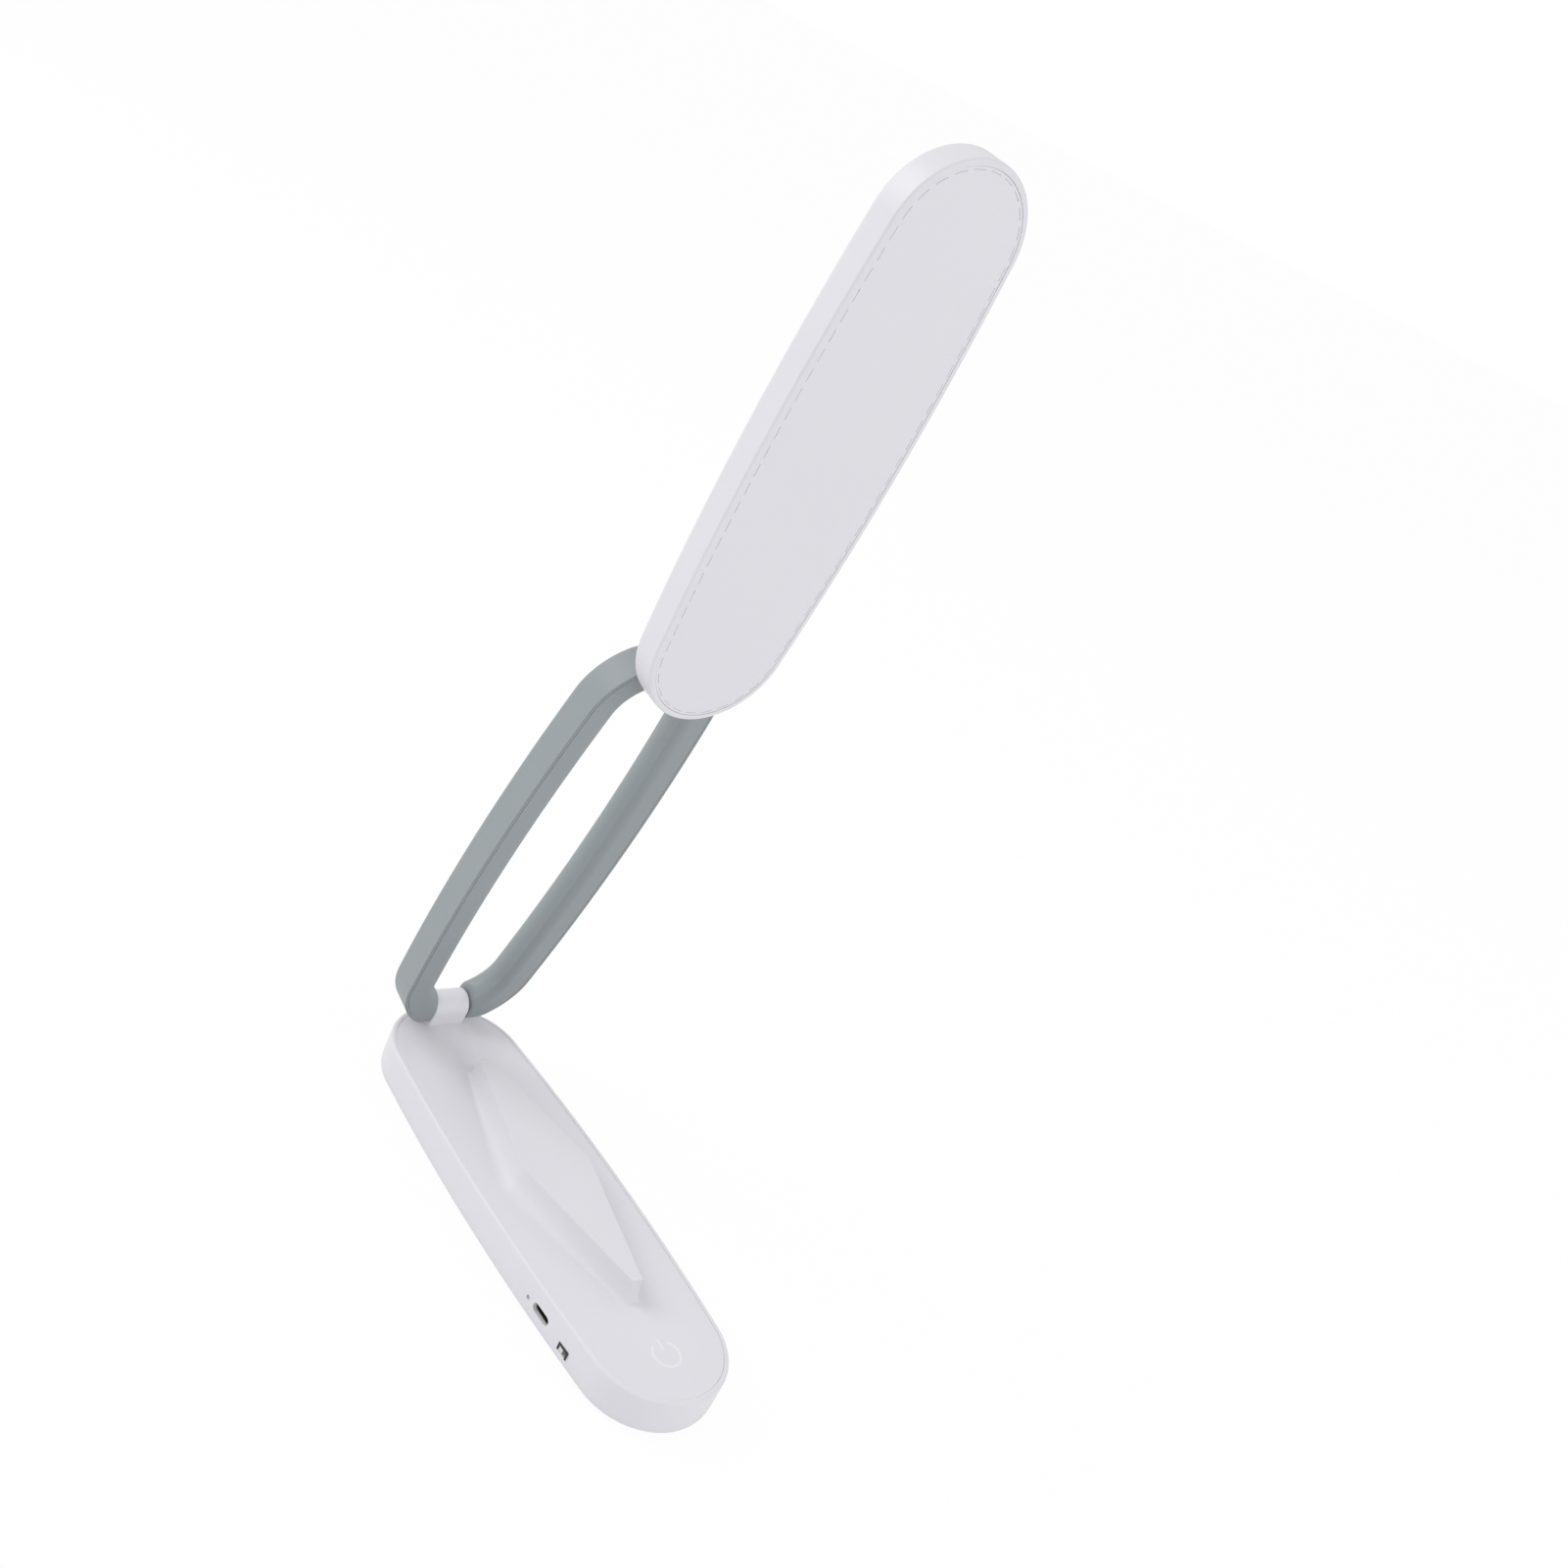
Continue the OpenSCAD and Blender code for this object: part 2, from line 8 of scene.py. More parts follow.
# %% Load the frame
import math
import bmesh
import bpy
from mathutils import Matrix, Vector


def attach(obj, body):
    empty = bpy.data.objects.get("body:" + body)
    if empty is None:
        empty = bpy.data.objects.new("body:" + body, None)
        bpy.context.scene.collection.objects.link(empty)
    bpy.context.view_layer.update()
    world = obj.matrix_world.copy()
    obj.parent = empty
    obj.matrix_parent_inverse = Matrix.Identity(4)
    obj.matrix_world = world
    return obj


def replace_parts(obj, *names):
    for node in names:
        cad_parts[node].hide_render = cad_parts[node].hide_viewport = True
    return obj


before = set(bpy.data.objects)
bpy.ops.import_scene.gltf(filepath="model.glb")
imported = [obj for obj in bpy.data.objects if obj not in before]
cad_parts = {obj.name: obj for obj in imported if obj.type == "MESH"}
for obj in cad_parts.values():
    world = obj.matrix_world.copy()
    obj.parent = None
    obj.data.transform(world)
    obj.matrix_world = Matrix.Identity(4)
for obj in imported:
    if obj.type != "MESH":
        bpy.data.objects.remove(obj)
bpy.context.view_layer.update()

# %% [markdown]
# ## Camera
# A camera is easiest to get right when its place and its three axes are written out as one
# matrix. The lamp is seen from the front right corner, from above, and the picture leans by
# about 27 degrees, so the lens looks down at the base and almost square at the head.
# The other way is a Track To constraint and a roll angle, but that hides the lean.

# %% Camera
CAMERA_AT = (0.332192, -0.374812, 0.418565)
CAMERA_TURN = (1.6506494755, 1.0903286335, -0.1554418798)   # axis times angle, world to view
FOCAL_PIXELS = 1688.486
IMAGE_PIXELS = 1601
SENSOR_MM = 36.0
turn = Vector(CAMERA_TURN)
view = Matrix.Rotation(turn.length, 3, turn.normalized())   # rows: right, down, forward
axes = Matrix((view[0], -view[1], -view[2])).transposed()
lens = bpy.data.cameras.new("camera")
lens.sensor_width = SENSOR_MM
lens.lens = FOCAL_PIXELS / IMAGE_PIXELS * SENSOR_MM
lens.clip_start = 0.01
lens.clip_end = 100
camera = bpy.data.objects.new("camera", lens)
camera.matrix_world = Matrix.Translation(CAMERA_AT) @ axes.to_4x4()
bpy.context.scene.collection.objects.link(camera)
bpy.context.scene.camera = camera
print("lens", round(lens.lens, 3), "mm")

# %% [markdown]
# ## Measures that the pieces share
# Base, arm and head have one outline: two round ends of radius 28 joined by two long arcs that
# bow out by a few millimetres. The measures repeat the CAD model's driving values.

# %% Shared measures, in millimetres
HALF_LENGTH = 103.25
HALF_WIDTH = 31.0
END_RADIUS = 28.0
BASE_TOP = 16.6
ARM_HALF_THICK = 6.45
FOLD_GAP = 1.3
HEAD_THICK = 11.7
HINGE_X = HALF_LENGTH - 8.7
HINGE_Z = BASE_TOP + FOLD_GAP + ARM_HALF_THICK
ARM_HALF_LENGTH = HINGE_X + ARM_HALF_THICK
ARM_ANGLE = 78.3
HEAD_ANGLE = 84.2
HEAD_OFFSET = ARM_HALF_THICK + FOLD_GAP
KNUCKLE_HALF = 8.0
KNUCKLE_RADIUS = 6.2
ACROSS = (0, 1, 0)
UP = (0, 0, 1)


def turned(degrees, axis):
    return Matrix.Rotation(math.radians(degrees), 4, axis)


ON_BASE = Matrix.Identity(4)
ON_ARM = Matrix.Translation((-HINGE_X, 0, HINGE_Z)) @ turned(-ARM_ANGLE, "Y")
ON_HEAD = (ON_ARM @ Matrix.Translation((2 * HINGE_X, 0, 0)) @ turned(ARM_ANGLE - HEAD_ANGLE, "Y")
           @ Matrix.Translation((HINGE_X, 0, -HEAD_OFFSET)) @ turned(180, "X"))
METRES = Matrix.Scale(0.001, 4)
print("upper hinge at", [round(v, 2) for v in ON_ARM @ Vector((2 * HINGE_X, 0, 0))], "mm")

# %% [markdown]
# ## Making a piece
# A piece starts as a bmesh in millimetres. `place` moves it to its part of the lamp, turns it
# into metres and leaves the object itself at the origin, as the CAD nodes are. Faces are shaded
# smooth, and an edge sharper than the limit is marked sharp. A Weighted Normal modifier lets the
# large flat faces decide the shading beside a small rounded edge, as on a moulded part.
# `cut` takes one bmesh away from a piece with a Boolean. The exact solver is slower than the
# float one, and it copes with faces that lie in one plane. `spin` and `bevel` write out the
# settings of those two operators once, because an operator called from a script has to be told
# all of them.

# %% Placing, cutting, spinning and bevelling
MERGE = 0.0005          # vertices nearer than this are one


def shade(bm, sharp):
    """Smooth faces, with every edge sharper than the limit in degrees marked sharp."""
    for face in bm.faces:
        face.smooth = True
    for edge in bm.edges:
        edge.smooth = edge.is_manifold and edge.calc_face_angle(0) < math.radians(sharp)


def weigh(piece):
    normals = piece.modifiers.new("weighted normals", "WEIGHTED_NORMAL")
    normals.keep_sharp = True


def place(bm, name, body, material, where=ON_BASE, sharp=32):
    """Makes a bmesh in millimetres into an object of one body, shaded and with its finish."""
    bmesh.ops.remove_doubles(bm, verts=bm.verts, dist=MERGE)
    bmesh.ops.transform(bm, matrix=where, verts=bm.verts)
    bmesh.ops.recalc_face_normals(bm, faces=bm.faces)
    shade(bm, sharp)
    bmesh.ops.transform(bm, matrix=METRES, verts=bm.verts)
    mesh = bpy.data.meshes.new(name)
    bm.to_mesh(mesh)
    bm.free()
    piece = bpy.data.objects.new(name, mesh)
    bpy.context.scene.collection.objects.link(piece)
    piece.data.materials.append(material)
    weigh(piece)
    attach(piece, body)
    print(name, len(mesh.vertices), "vertices,", len(mesh.polygons), "faces")
    return piece


def cut(piece, cutter, where=ON_BASE, sharp=32):
    """Takes a bmesh in millimetres away from a piece, with a Boolean that is applied at once."""
    bmesh.ops.transform(cutter, matrix=METRES @ where, verts=cutter.verts)
    bmesh.ops.recalc_face_normals(cutter, faces=cutter.faces)
    mesh = bpy.data.meshes.new("cutter")
    cutter.to_mesh(mesh)
    tool = bpy.data.objects.new("cutter", mesh)
    bpy.context.scene.collection.objects.link(tool)
    piece.modifiers.clear()
    boolean = piece.modifiers.new("cut", "BOOLEAN")
    boolean.operation = "DIFFERENCE"
    boolean.solver = "EXACT"
    boolean.object = tool
    graph = bpy.context.evaluated_depsgraph_get()
    result = bpy.data.meshes.new_from_object(piece.evaluated_get(graph))
    cutter.clear()
    cutter.from_mesh(result)
    shade(cutter, sharp)
    cutter.to_mesh(result)
    cutter.free()
    piece.modifiers.clear()
    piece.data = result
    result.name = piece.name
    bpy.data.objects.remove(tool)
    weigh(piece)
    print(piece.name, "after the cut:", len(result.vertices), "vertices")


def vertices(geom):
    return [part for part in geom if isinstance(part, bmesh.types.BMVert)]


def spin(bm, geom, centre, axis, angle, steps):
    """Sweeps geometry round an axis and gives back the last copy."""
    return bmesh.ops.spin(bm, geom=geom, cent=centre, axis=axis, angle=angle, steps=steps, use_merge=False,
                          use_normal_flip=False, use_duplicate=False)["geom_last"]


def bevel(bm, edges, offset, segments):
    bmesh.ops.bevel(bm, geom=edges, offset=offset, offset_type="OFFSET", affect="EDGES", segments=segments,
                    profile=0.5, material=-1)


def block(bm, x, y, z):
    """A box between two x, two y and two z values."""
    made = bmesh.ops.create_cube(bm, size=1.0)["verts"]
    bmesh.ops.scale(bm, vec=(x[1] - x[0], y[1] - y[0], z[1] - z[0]), verts=made)
    bmesh.ops.translate(bm, vec=(sum(x) / 2, sum(y) / 2, sum(z) / 2), verts=made)


def post(bm, x, y, z, radius, segments=32):
    """An upright cylinder between two z values."""
    made = bmesh.ops.create_cone(bm, cap_ends=True, segments=segments, radius1=radius, radius2=radius,
                                 depth=z[1] - z[0])["verts"]
    bmesh.ops.translate(bm, vec=(x, y, sum(z) / 2), verts=made)


def rod(centre, radius, length, segments):
    """A bmesh with one cylinder along Y about a middle point."""
    bm = bmesh.new()
    made = bmesh.ops.create_cone(bm, cap_ends=True, segments=segments, radius1=radius, radius2=radius,
                                 depth=length)["verts"]
    bmesh.ops.rotate(bm, cent=(0, 0, 0), matrix=turned(90, "X"), verts=made)
    bmesh.ops.translate(bm, vec=centre, verts=made)
    return bm


# %% [markdown]
# ## Colour and materials
# Colours are written as the hex values of a colour picker, so one function turns sRGB into the
# linear numbers that shaders use. Another adds a node with its settings and links in one line.

# %% Colour and node helpers
def linear(code):
    parts = [int(code[i:i + 2], 16) / 255 for i in (1, 3, 5)]
    return tuple(c / 12.92 if c <= 0.04045 else ((c + 0.055) / 1.055) ** 2.4 for c in parts) + (1.0,)


def add(tree, kind, settings=None, **links):
    """Adds a node. Settings go on the node. Links go on its sockets, each a socket or a value, and
    are named by number, as i0, or by the socket's name with _ for a space."""
    node = tree.nodes.new(kind)
    for key, value in (settings or {}).items():
        setattr(node, key, value)
    for key, value in links.items():
        number = key[1:] if key[0] == "i" else ""
        socket = node.inputs[int(number) if number.isdigit() else key.replace("_", " ")]
        if isinstance(value, bpy.types.NodeSocket):
            tree.links.new(value, socket)
        else:
            socket.default_value = value
    return node


NOISE_LOW, NOISE_HIGH = 0.3, 0.7        # nearly all of a noise texture lies between these
PLASTIC_SPREAD, METAL_SPREAD = 0.05, 0.08       # how far the roughness strays to either side


def plastic(name, code, roughness, grain_mm, grain_depth, tone=0.03, patch_mm=45, **extra):
    """Moulded plastic: a slow drift of tone and gloss, and the fine grain of a spark-eroded mould."""
    material = bpy.data.materials.new(name)
    material.use_nodes = True
    tree = material.node_tree
    tree.nodes.clear()
    where = add(tree, "ShaderNodeTexCoord").outputs["Object"]
    drift = add(tree, "ShaderNodeTexNoise", Vector=where, Scale=1000 / patch_mm, Detail=2.0, Roughness=0.5)
    grain = add(tree, "ShaderNodeTexNoise", Vector=where, Scale=1000 / grain_mm, Detail=3.0, Roughness=0.6)
    base = linear(code)
    shift = [tuple(min(1.0, c * (1 + s * tone)) for c in base[:3]) + (1,) for s in (-1, 1)]
    colour = add(tree, "ShaderNodeMix", {"data_type": "RGBA"}, i0=drift.outputs["Fac"],
                 i6=shift[0], i7=shift[1])
    gloss = add(tree, "ShaderNodeMapRange", Value=grain.outputs["Fac"], i1=NOISE_LOW, i2=NOISE_HIGH,
                i3=roughness - PLASTIC_SPREAD, i4=roughness + PLASTIC_SPREAD)
    bump = add(tree, "ShaderNodeBump", Height=grain.outputs["Fac"], Strength=0.35,
               Distance=grain_depth / 1000)
    shader = add(tree, "ShaderNodeBsdfPrincipled", Base_Color=colour.outputs[2],
                 Roughness=gloss.outputs["Result"], Normal=bump.outputs["Normal"], **extra)
    add(tree, "ShaderNodeOutputMaterial", Surface=shader.outputs["BSDF"])
    return material


def metal(name, code, roughness, line_mm, stretch):
    """Plated or drawn metal: fine lines along one axis that spread the highlight."""
    material = bpy.data.materials.new(name)
    material.use_nodes = True
    tree = material.node_tree
    tree.nodes.clear()
    where = add(tree, "ShaderNodeTexCoord").outputs["Object"]
    lines = add(tree, "ShaderNodeMapping", Vector=where, Scale=stretch)
    noise = add(tree, "ShaderNodeTexNoise", Vector=lines.outputs["Vector"], Scale=1000 / line_mm, Detail=2.0)
    gloss = add(tree, "ShaderNodeMapRange", Value=noise.outputs["Fac"], i1=NOISE_LOW, i2=NOISE_HIGH,
                i3=roughness - METAL_SPREAD, i4=roughness + METAL_SPREAD)
    bump = add(tree, "ShaderNodeBump", Height=noise.outputs["Fac"], Strength=0.3, Distance=0.00002)
    shader = add(tree, "ShaderNodeBsdfPrincipled", Base_Color=linear(code), Metallic=1.0,
                 Roughness=gloss.outputs["Result"], Normal=bump.outputs["Normal"])
    add(tree, "ShaderNodeOutputMaterial", Surface=shader.outputs["BSDF"])
    return material


# %% [markdown]
# ## The finishes
# The shells are ABS, moulded in a fine matt tool: the eye sees a soft, wide highlight and no
# gloss line. The arm is the same resin in grey with a softer, rougher touch. Inner parts have
# the finishes of their trades: nickel plate, zinc plate, acetal, rubber, solder mask.

# %% Finishes
white_abs = plastic("satin white ABS", "#dcdbe1", 0.46, 0.5, 0.012, IOR=1.54)
strap_abs = plastic("satin white ABS, knuckles", "#dcdbe1", 0.42, 0.5, 0.012, IOR=1.54)
opal_pc = plastic("opal polycarbonate", "#dcdbe1", 0.5, 0.7, 0.006, tone=0.012, patch_mm=70, IOR=1.58)
grey_abs = plastic("soft-touch grey ABS", "#939a9d", 0.52, 0.5, 0.02, tone=0.04, IOR=1.52)
# The front covers are the same grey resin made a shade darker: painted shade for the front faces, which get
# less light.
front_abs_painted_shade = plastic("soft-touch grey ABS, front covers, painted shade", "#8d9497", 0.5, 0.5, 0.02, tone=0.04, IOR=1.52)
# A lighter white than the shell's. On the switch nub it is painted light that offsets the shade of the frame
# over it. On the touch mark it is the print.
nub_painted_light_and_mark_print = plastic("white ABS, switch nub painted light, mark print", "#e6e5ea", 0.45, 0.3, 0.01, IOR=1.54)
black_switch = plastic("black PBT", "#1c1c1f", 0.5, 0.3, 0.01, IOR=1.55)
black_acetal = plastic("black acetal", "#29292c", 0.4, 0.4, 0.008, IOR=1.48)
grey_rubber = plastic("grey silicone rubber", "#8b8c8f", 0.8, 0.6, 0.03, tone=0.06, IOR=1.42)
black_pvc = plastic("black PVC lead", "#202024", 0.45, 0.5, 0.01, IOR=1.53)
blue_wrap = plastic("blue heat-shrink film", "#35619a", 0.3, 1.2, 0.02, IOR=1.55)
green_board = plastic("green solder mask", "#1d5a34", 0.35, 0.8, 0.01, tone=0.12, patch_mm=6, IOR=1.5)
white_board = plastic("white solder mask", "#e4e6e8", 0.4, 0.8, 0.01, IOR=1.5)
phosphor = plastic("yellow LED phosphor", "#e2c565", 0.5, 0.3, 0.01, IOR=1.5)
white_tray = plastic("white reflector ABS", "#eeeef0", 0.5, 0.6, 0.01, IOR=1.54)
zinc_steel = metal("zinc-plated steel", "#b4b8bd", 0.36, 0.6, (1, 1, 6))
pin_steel = metal("ground steel", "#a9acb0", 0.28, 0.4, (1, 8, 1))
nickel = metal("nickel-plated steel", "#b9b4ae", 0.3, 0.5, (6, 1, 1))
gold = metal("gold-plated contact", "#d9b063", 0.3, 0.4, (1, 6, 1))
copper = metal("copper foil", "#c07a4e", 0.4, 0.8, (1, 6, 1))
clear_pipe = plastic("clear polycarbonate light pipe", "#b9bec2", 0.2, 0.5, 0.004, IOR=1.58,
                     Transmission_Weight=0.4)
print(len(bpy.data.materials), "materials")

# %% [markdown]
# ## The outline, drawn with Spin
# The outline is all arcs, so one vertex is spun about the four centres in turn: it leaves
# exact arcs behind it, and an inset outline comes from starting nearer the middle. The other
# way is to type a list of coordinates, which would have to be worked out again for each inset.

# %% The outline
END_STEPS = 24
SIDE_STEPS = 12


def side_radius(half_length):
    run = half_length - END_RADIUS
    rise = HALF_WIDTH - END_RADIUS
    return (run * run + HALF_WIDTH ** 2 - END_RADIUS ** 2) / (2 * rise)


def join_angle(half_length):
    return math.atan2(side_radius(half_length) - HALF_WIDTH, half_length - END_RADIUS)


def outline(bm, inset, z):
    """One closed ring of edges at a distance inside the outline."""
    known = set(bm.edges)
    centre_x = HALF_LENGTH - END_RADIUS
    centre_y = side_radius(HALF_LENGTH) - HALF_WIDTH
    join = join_angle(HALF_LENGTH)
    arcs = [(centre_x, 0, join, END_STEPS), (0, -centre_y, math.pi - 2 * join, SIDE_STEPS),
            (-centre_x, 0, 2 * join, 2 * END_STEPS), (0, centre_y, math.pi - 2 * join, SIDE_STEPS),
            (centre_x, 0, join, END_STEPS)]
    first = last = bm.verts.new((HALF_LENGTH - inset, 0, z))
    for x, y, angle, steps in arcs:
        last = vertices(spin(bm, [last], (x, y, z), UP, angle, steps))[0]
    bmesh.ops.pointmerge(bm, verts=[first, last], merge_co=first.co.copy())
    return [e for e in bm.edges if e not in known]


def plate(levels):
    """A solid whose edge profile is a list of (inset, z), in order along the profile."""
    bm = bmesh.new()
    rings = [outline(bm, inset, z) for inset, z in levels]
    for lower, upper in zip(rings, rings[1:]):
        bmesh.ops.bridge_loops(bm, edges=lower + upper)
    bmesh.ops.contextual_create(bm, geom=rings[0])
    bmesh.ops.contextual_create(bm, geom=rings[-1])
    return bm


def fillet(corner_in, corner_z, radius, start, steps):
    """(inset, z) points of a quarter circle about a centre, from the start angle on."""
    return [(corner_in - radius * math.cos(math.radians(start + 90 * i / steps)),
             corner_z + radius * math.sin(math.radians(start + 90 * i / steps))) for i in range(steps + 1)]


# %% [markdown]
# ## The tray of the base
# The tray is an injection-moulded shell with 3 mm walls. Its rim is rounded outside, and 2 mm
# inside the wall a rebate holds the cover. It is a stack of outlines joined by Bridge, then
# Booleans open the wall for the socket, the charge light and the switch.

# %% Base tray
WALL, FLOOR_TOP = 3.0, 3.0
REBATE, LEDGE_Z = 2.0, 14.3
RIM_ROUND = 1.15
TRAY_FOOT = [(3.2, 1.0), (2.3, 1.06), (1.6, 1.2), (1.0, 1.5), (0.5, 2.0), (0.22, 2.7), (0.08, 3.6), (0, 6.0)]
TRAY = (TRAY_FOOT + fillet(RIM_ROUND, BASE_TOP - RIM_ROUND, RIM_ROUND, 0, 6)
        + [(REBATE, BASE_TOP - 0.03), (REBATE, LEDGE_Z + 0.03), (WALL, LEDGE_Z), (WALL, FLOOR_TOP)])
base_shell = place(plate(TRAY), "base_shell", "base", white_abs, sharp=40)
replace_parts(base_shell, "base_tray")

WALL_CUT = (-40, -25)           # y range of the cutters that open the wall
USB_X, USB_Z = 48.7, 8.2
LIGHT_X, LIGHT_Z = 40.5, 8.0
PINHOLE_RADIUS = 0.85
SWITCH_X, SWITCH_Z = 63.9, 6.7
WINDOW_HALF_X, WINDOW_HALF_Z = 2.9, 1.65
SCREWS_AT = [(x, y) for x in (-74, 74) for y in (-16, 16)]
HEAD_SEAT = 2.3                 # depth of the holes that take the screws' heads
FEET_AT = [(x, y) for x in (-86, 86) for y in (-13, 13)]
FOOT_RADIUS, FOOT_TOP = 5.0, 1.6


def stadium_bar(width, height, y0, y1):
    """A bar along Y at the socket, with round sides: two spun arcs are joined and extruded."""
    bm = bmesh.new()
    half = (width - height) / 2
    first = last = bm.verts.new((USB_X - half, y0, USB_Z - height / 2))
    for side in (-1, 1):
        if side > 0:
            made = bmesh.ops.extrude_vert_indiv(bm, verts=[last])["verts"]
            bmesh.ops.translate(bm, vec=(2 * half, 0, 0), verts=made)
            last = made[0]
        last = vertices(spin(bm, [last], (USB_X + side * half, y0, USB_Z), ACROSS, math.pi, 12))[0]
    bm.edges.new((last, first))
    face = bmesh.ops.contextual_create(bm, geom=bm.edges[:])["faces"]
    grown = bmesh.ops.extrude_face_region(bm, geom=face, use_keep_orig=True)["geom"]
    bmesh.ops.translate(bm, vec=(0, y1 - y0, 0), verts=vertices(grown))
    return bm


cut(base_shell, stadium_bar(9.4, 3.6, *WALL_CUT))
window = bmesh.new()
block(window, (SWITCH_X - WINDOW_HALF_X, SWITCH_X + WINDOW_HALF_X), WALL_CUT,
      (SWITCH_Z - WINDOW_HALF_Z, SWITCH_Z + WINDOW_HALF_Z))
bevel(window, [e for e in window.edges if abs(e.verts[0].co.y - e.verts[1].co.y) > 1], 0.5, 4)
cut(base_shell, window)
cut(base_shell, rod((LIGHT_X, sum(WALL_CUT) / 2, LIGHT_Z), PINHOLE_RADIUS, WALL_CUT[1] - WALL_CUT[0], 24))
recesses = bmesh.new()
for x, y in SCREWS_AT:
    post(recesses, x, y, (0, HEAD_SEAT), 3.0)
    post(recesses, x, y, (HEAD_SEAT - 0.1, 4.0), 1.7)
for x, y in FEET_AT:
    post(recesses, x, y, (0, FOOT_TOP), FOOT_RADIUS + 0.15, 48)
cut(base_shell, recesses)

# %% [markdown]
# ## The cover of the base
# The cover is one moulding: a flat deck, a long lozenge island with a flat top and hollow
# quarter-round flanks, and at the hinge end a low ramp that runs up to the knuckle. It starts
# as the island's top face. Its edge ring is extruded outwards step by step along the cove, then
# bridged to the outline. The ramp is a smooth lift of the vertices it covers. Bridge twists
# between two rings in one plane, so the cove ends a hair above the deck.

# %% Base cover
DECK_Z = 16.5
ISLAND_RISE = 9.1
ISLAND_HALF_WIDTH = 15.0
ISLAND_HALF_LENGTH = 58.5
ISLAND_X = -1.5
ISLAND_TIP = 2.2
COVE = 8.7
TIP_COVE = 2.8
TIP_FLARE = 1.2
COVE_STEPS = 12
FOOT_LIFT = 0.05                # height of the cove's foot above the deck
ISLAND_ROUND = 0.42
DECK_EDGE = 2.22                # inset of the deck's edge
COVER_SIDE = [(2.1, DECK_Z - 0.04), (2.05, DECK_Z - 0.12), (2.05, LEDGE_Z)]
RAMP_TOP_X, RAMP_TOE_X = -86.0, -66.0
RAMP_BACK_X, RAMP_END_X = -92.0, -99.0          # behind the knuckle the ramp fades out between these
RAMP_RISE, TOE_RISE = 1.7, 1.0
RAMP_HALF, TOE_HALF = 8.0, 4.0
FLANK_FROM, FLANK_TO = 0.45, 1.75               # the flanks, as shares of the half width
LIFT_FADE = 2.0                 # what lies this far above the deck isn't lifted
LONG_CUTS = END_STEPS + SIDE_STEPS // 2 - 2     # vertices along one long side of the island
TIP_CUTS = 4


def island_corner(index, spread):
    """Corner of the lozenge; spread runs from 0 at the top face to 1 at the deck."""
    side = ISLAND_HALF_WIDTH + COVE * spread
    x = ISLAND_HALF_LENGTH + TIP_COVE * spread
    y = ISLAND_TIP + TIP_FLARE * spread
    corners = [(x, y), (0, side), (-x, y), (-x, -y), (0, -side), (x, -y)]
    return Vector(corners[index]) + Vector((ISLAND_X, 0))


# first corner, second corner and number of vertices of each side of the lozenge
ISLAND_SPANS = [(0, 1, LONG_CUTS), (1, 2, LONG_CUTS), (2, 3, TIP_CUTS),
                (3, 4, LONG_CUTS), (4, 5, LONG_CUTS), (5, 0, TIP_CUTS)]


def ring_point(step, spread):
    """Point on the lozenge's edge, counted in vertices from its first corner."""
    for start, end, count in ISLAND_SPANS:
        if step < count:
            a, b = (island_corner(k, spread) for k in (start, end))
            return a.lerp(b, step / count)
        step -= count


def ease(low, high, value):
    """0 below low, 1 above high, and a smooth step between."""
    share = min(1.0, max(0.0, (value - low) / (high - low)))
    return share * share * (3 - 2 * share)


def ramp(x, y):
    """Height of the ramp at the knuckle: a hollow slope that ends in a blunt, rounded toe."""
    ahead = max(0.0, (x - RAMP_TOP_X) / (RAMP_TOE_X - RAMP_TOP_X))
    behind = ease(RAMP_BACK_X, RAMP_END_X, x)
    if ahead >= 1 or behind >= 1:
        return 0.0
    half = RAMP_HALF + (TOE_HALF - RAMP_HALF) * ahead
    rise = (RAMP_RISE - TOE_RISE) * (1 - ahead) ** 2 + TOE_RISE
    flank = ease(FLANK_FROM * half, FLANK_TO * half, abs(y))
    return rise * (1 - ahead ** 5) * (1 - behind) * (1 - flank)


cover = bmesh.new()
island_count = sum(count for _, _, count in ISLAND_SPANS)
island_top = BASE_TOP + ISLAND_RISE
cove_drop = island_top - DECK_Z - FOOT_LIFT
ring = [cover.verts.new((*ring_point(i, 0), island_top)) for i in range(island_count)]
top_edges = [cover.edges.new((ring[i], ring[(i + 1) % island_count])) for i in range(island_count)]
cover.faces.new(ring)
edges, order = top_edges, ring
for step in range(1, COVE_STEPS + 1):
    t = math.radians(90 * step / COVE_STEPS)
    grown = bmesh.ops.extrude_edge_only(cover, edges=edges)["geom"]
    fresh = set(vertices(grown))
    order = [[e.other_vert(v) for e in v.link_edges if e.other_vert(v) in fresh][0] for v in order]
    for i, v in enumerate(order):
        v.co = (*ring_point(i, 1 - math.cos(t)), island_top - cove_drop * math.sin(t))
    edges = [e for e in grown if isinstance(e, bmesh.types.BMEdge) and set(e.verts) <= fresh]
deck_edge = outline(cover, DECK_EDGE, DECK_Z)
bridge = bmesh.ops.bridge_loops(cover, edges=edges + deck_edge)
spokes = [e for e in bridge["edges"] if e not in edges and e not in deck_edge]
bmesh.ops.subdivide_edges(cover, edges=spokes, cuts=26, use_grid_fill=True)
for v in cover.verts:
    height = v.co.z - DECK_Z
    if height < LIFT_FADE:
        v.co.z += ramp(v.co.x, v.co.y) * (1 - height / LIFT_FADE)
side = [outline(cover, inset, z) for inset, z in COVER_SIDE]
for lower, upper in zip([deck_edge] + side, side):
    bmesh.ops.bridge_loops(cover, edges=lower + upper)
bmesh.ops.contextual_create(cover, geom=side[-1])
bevel(cover, [e for e in top_edges if e.is_valid], ISLAND_ROUND, 2)
base_cover = place(cover, "base_cover", "base", white_abs, sharp=38)
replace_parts(base_cover, "base_top")

# %% [markdown]
# ## Knuckles
# A knuckle is a white strap that goes round the hinge barrel and down into its shell. Its
# profile is an arc that is left along two tangents: the arc is spun, the foot is drawn, and the
# face is extruded across. A bevel on the two rims gives the bright line along its edge. Each
# strap is bored for the hinge pins and their bushes.

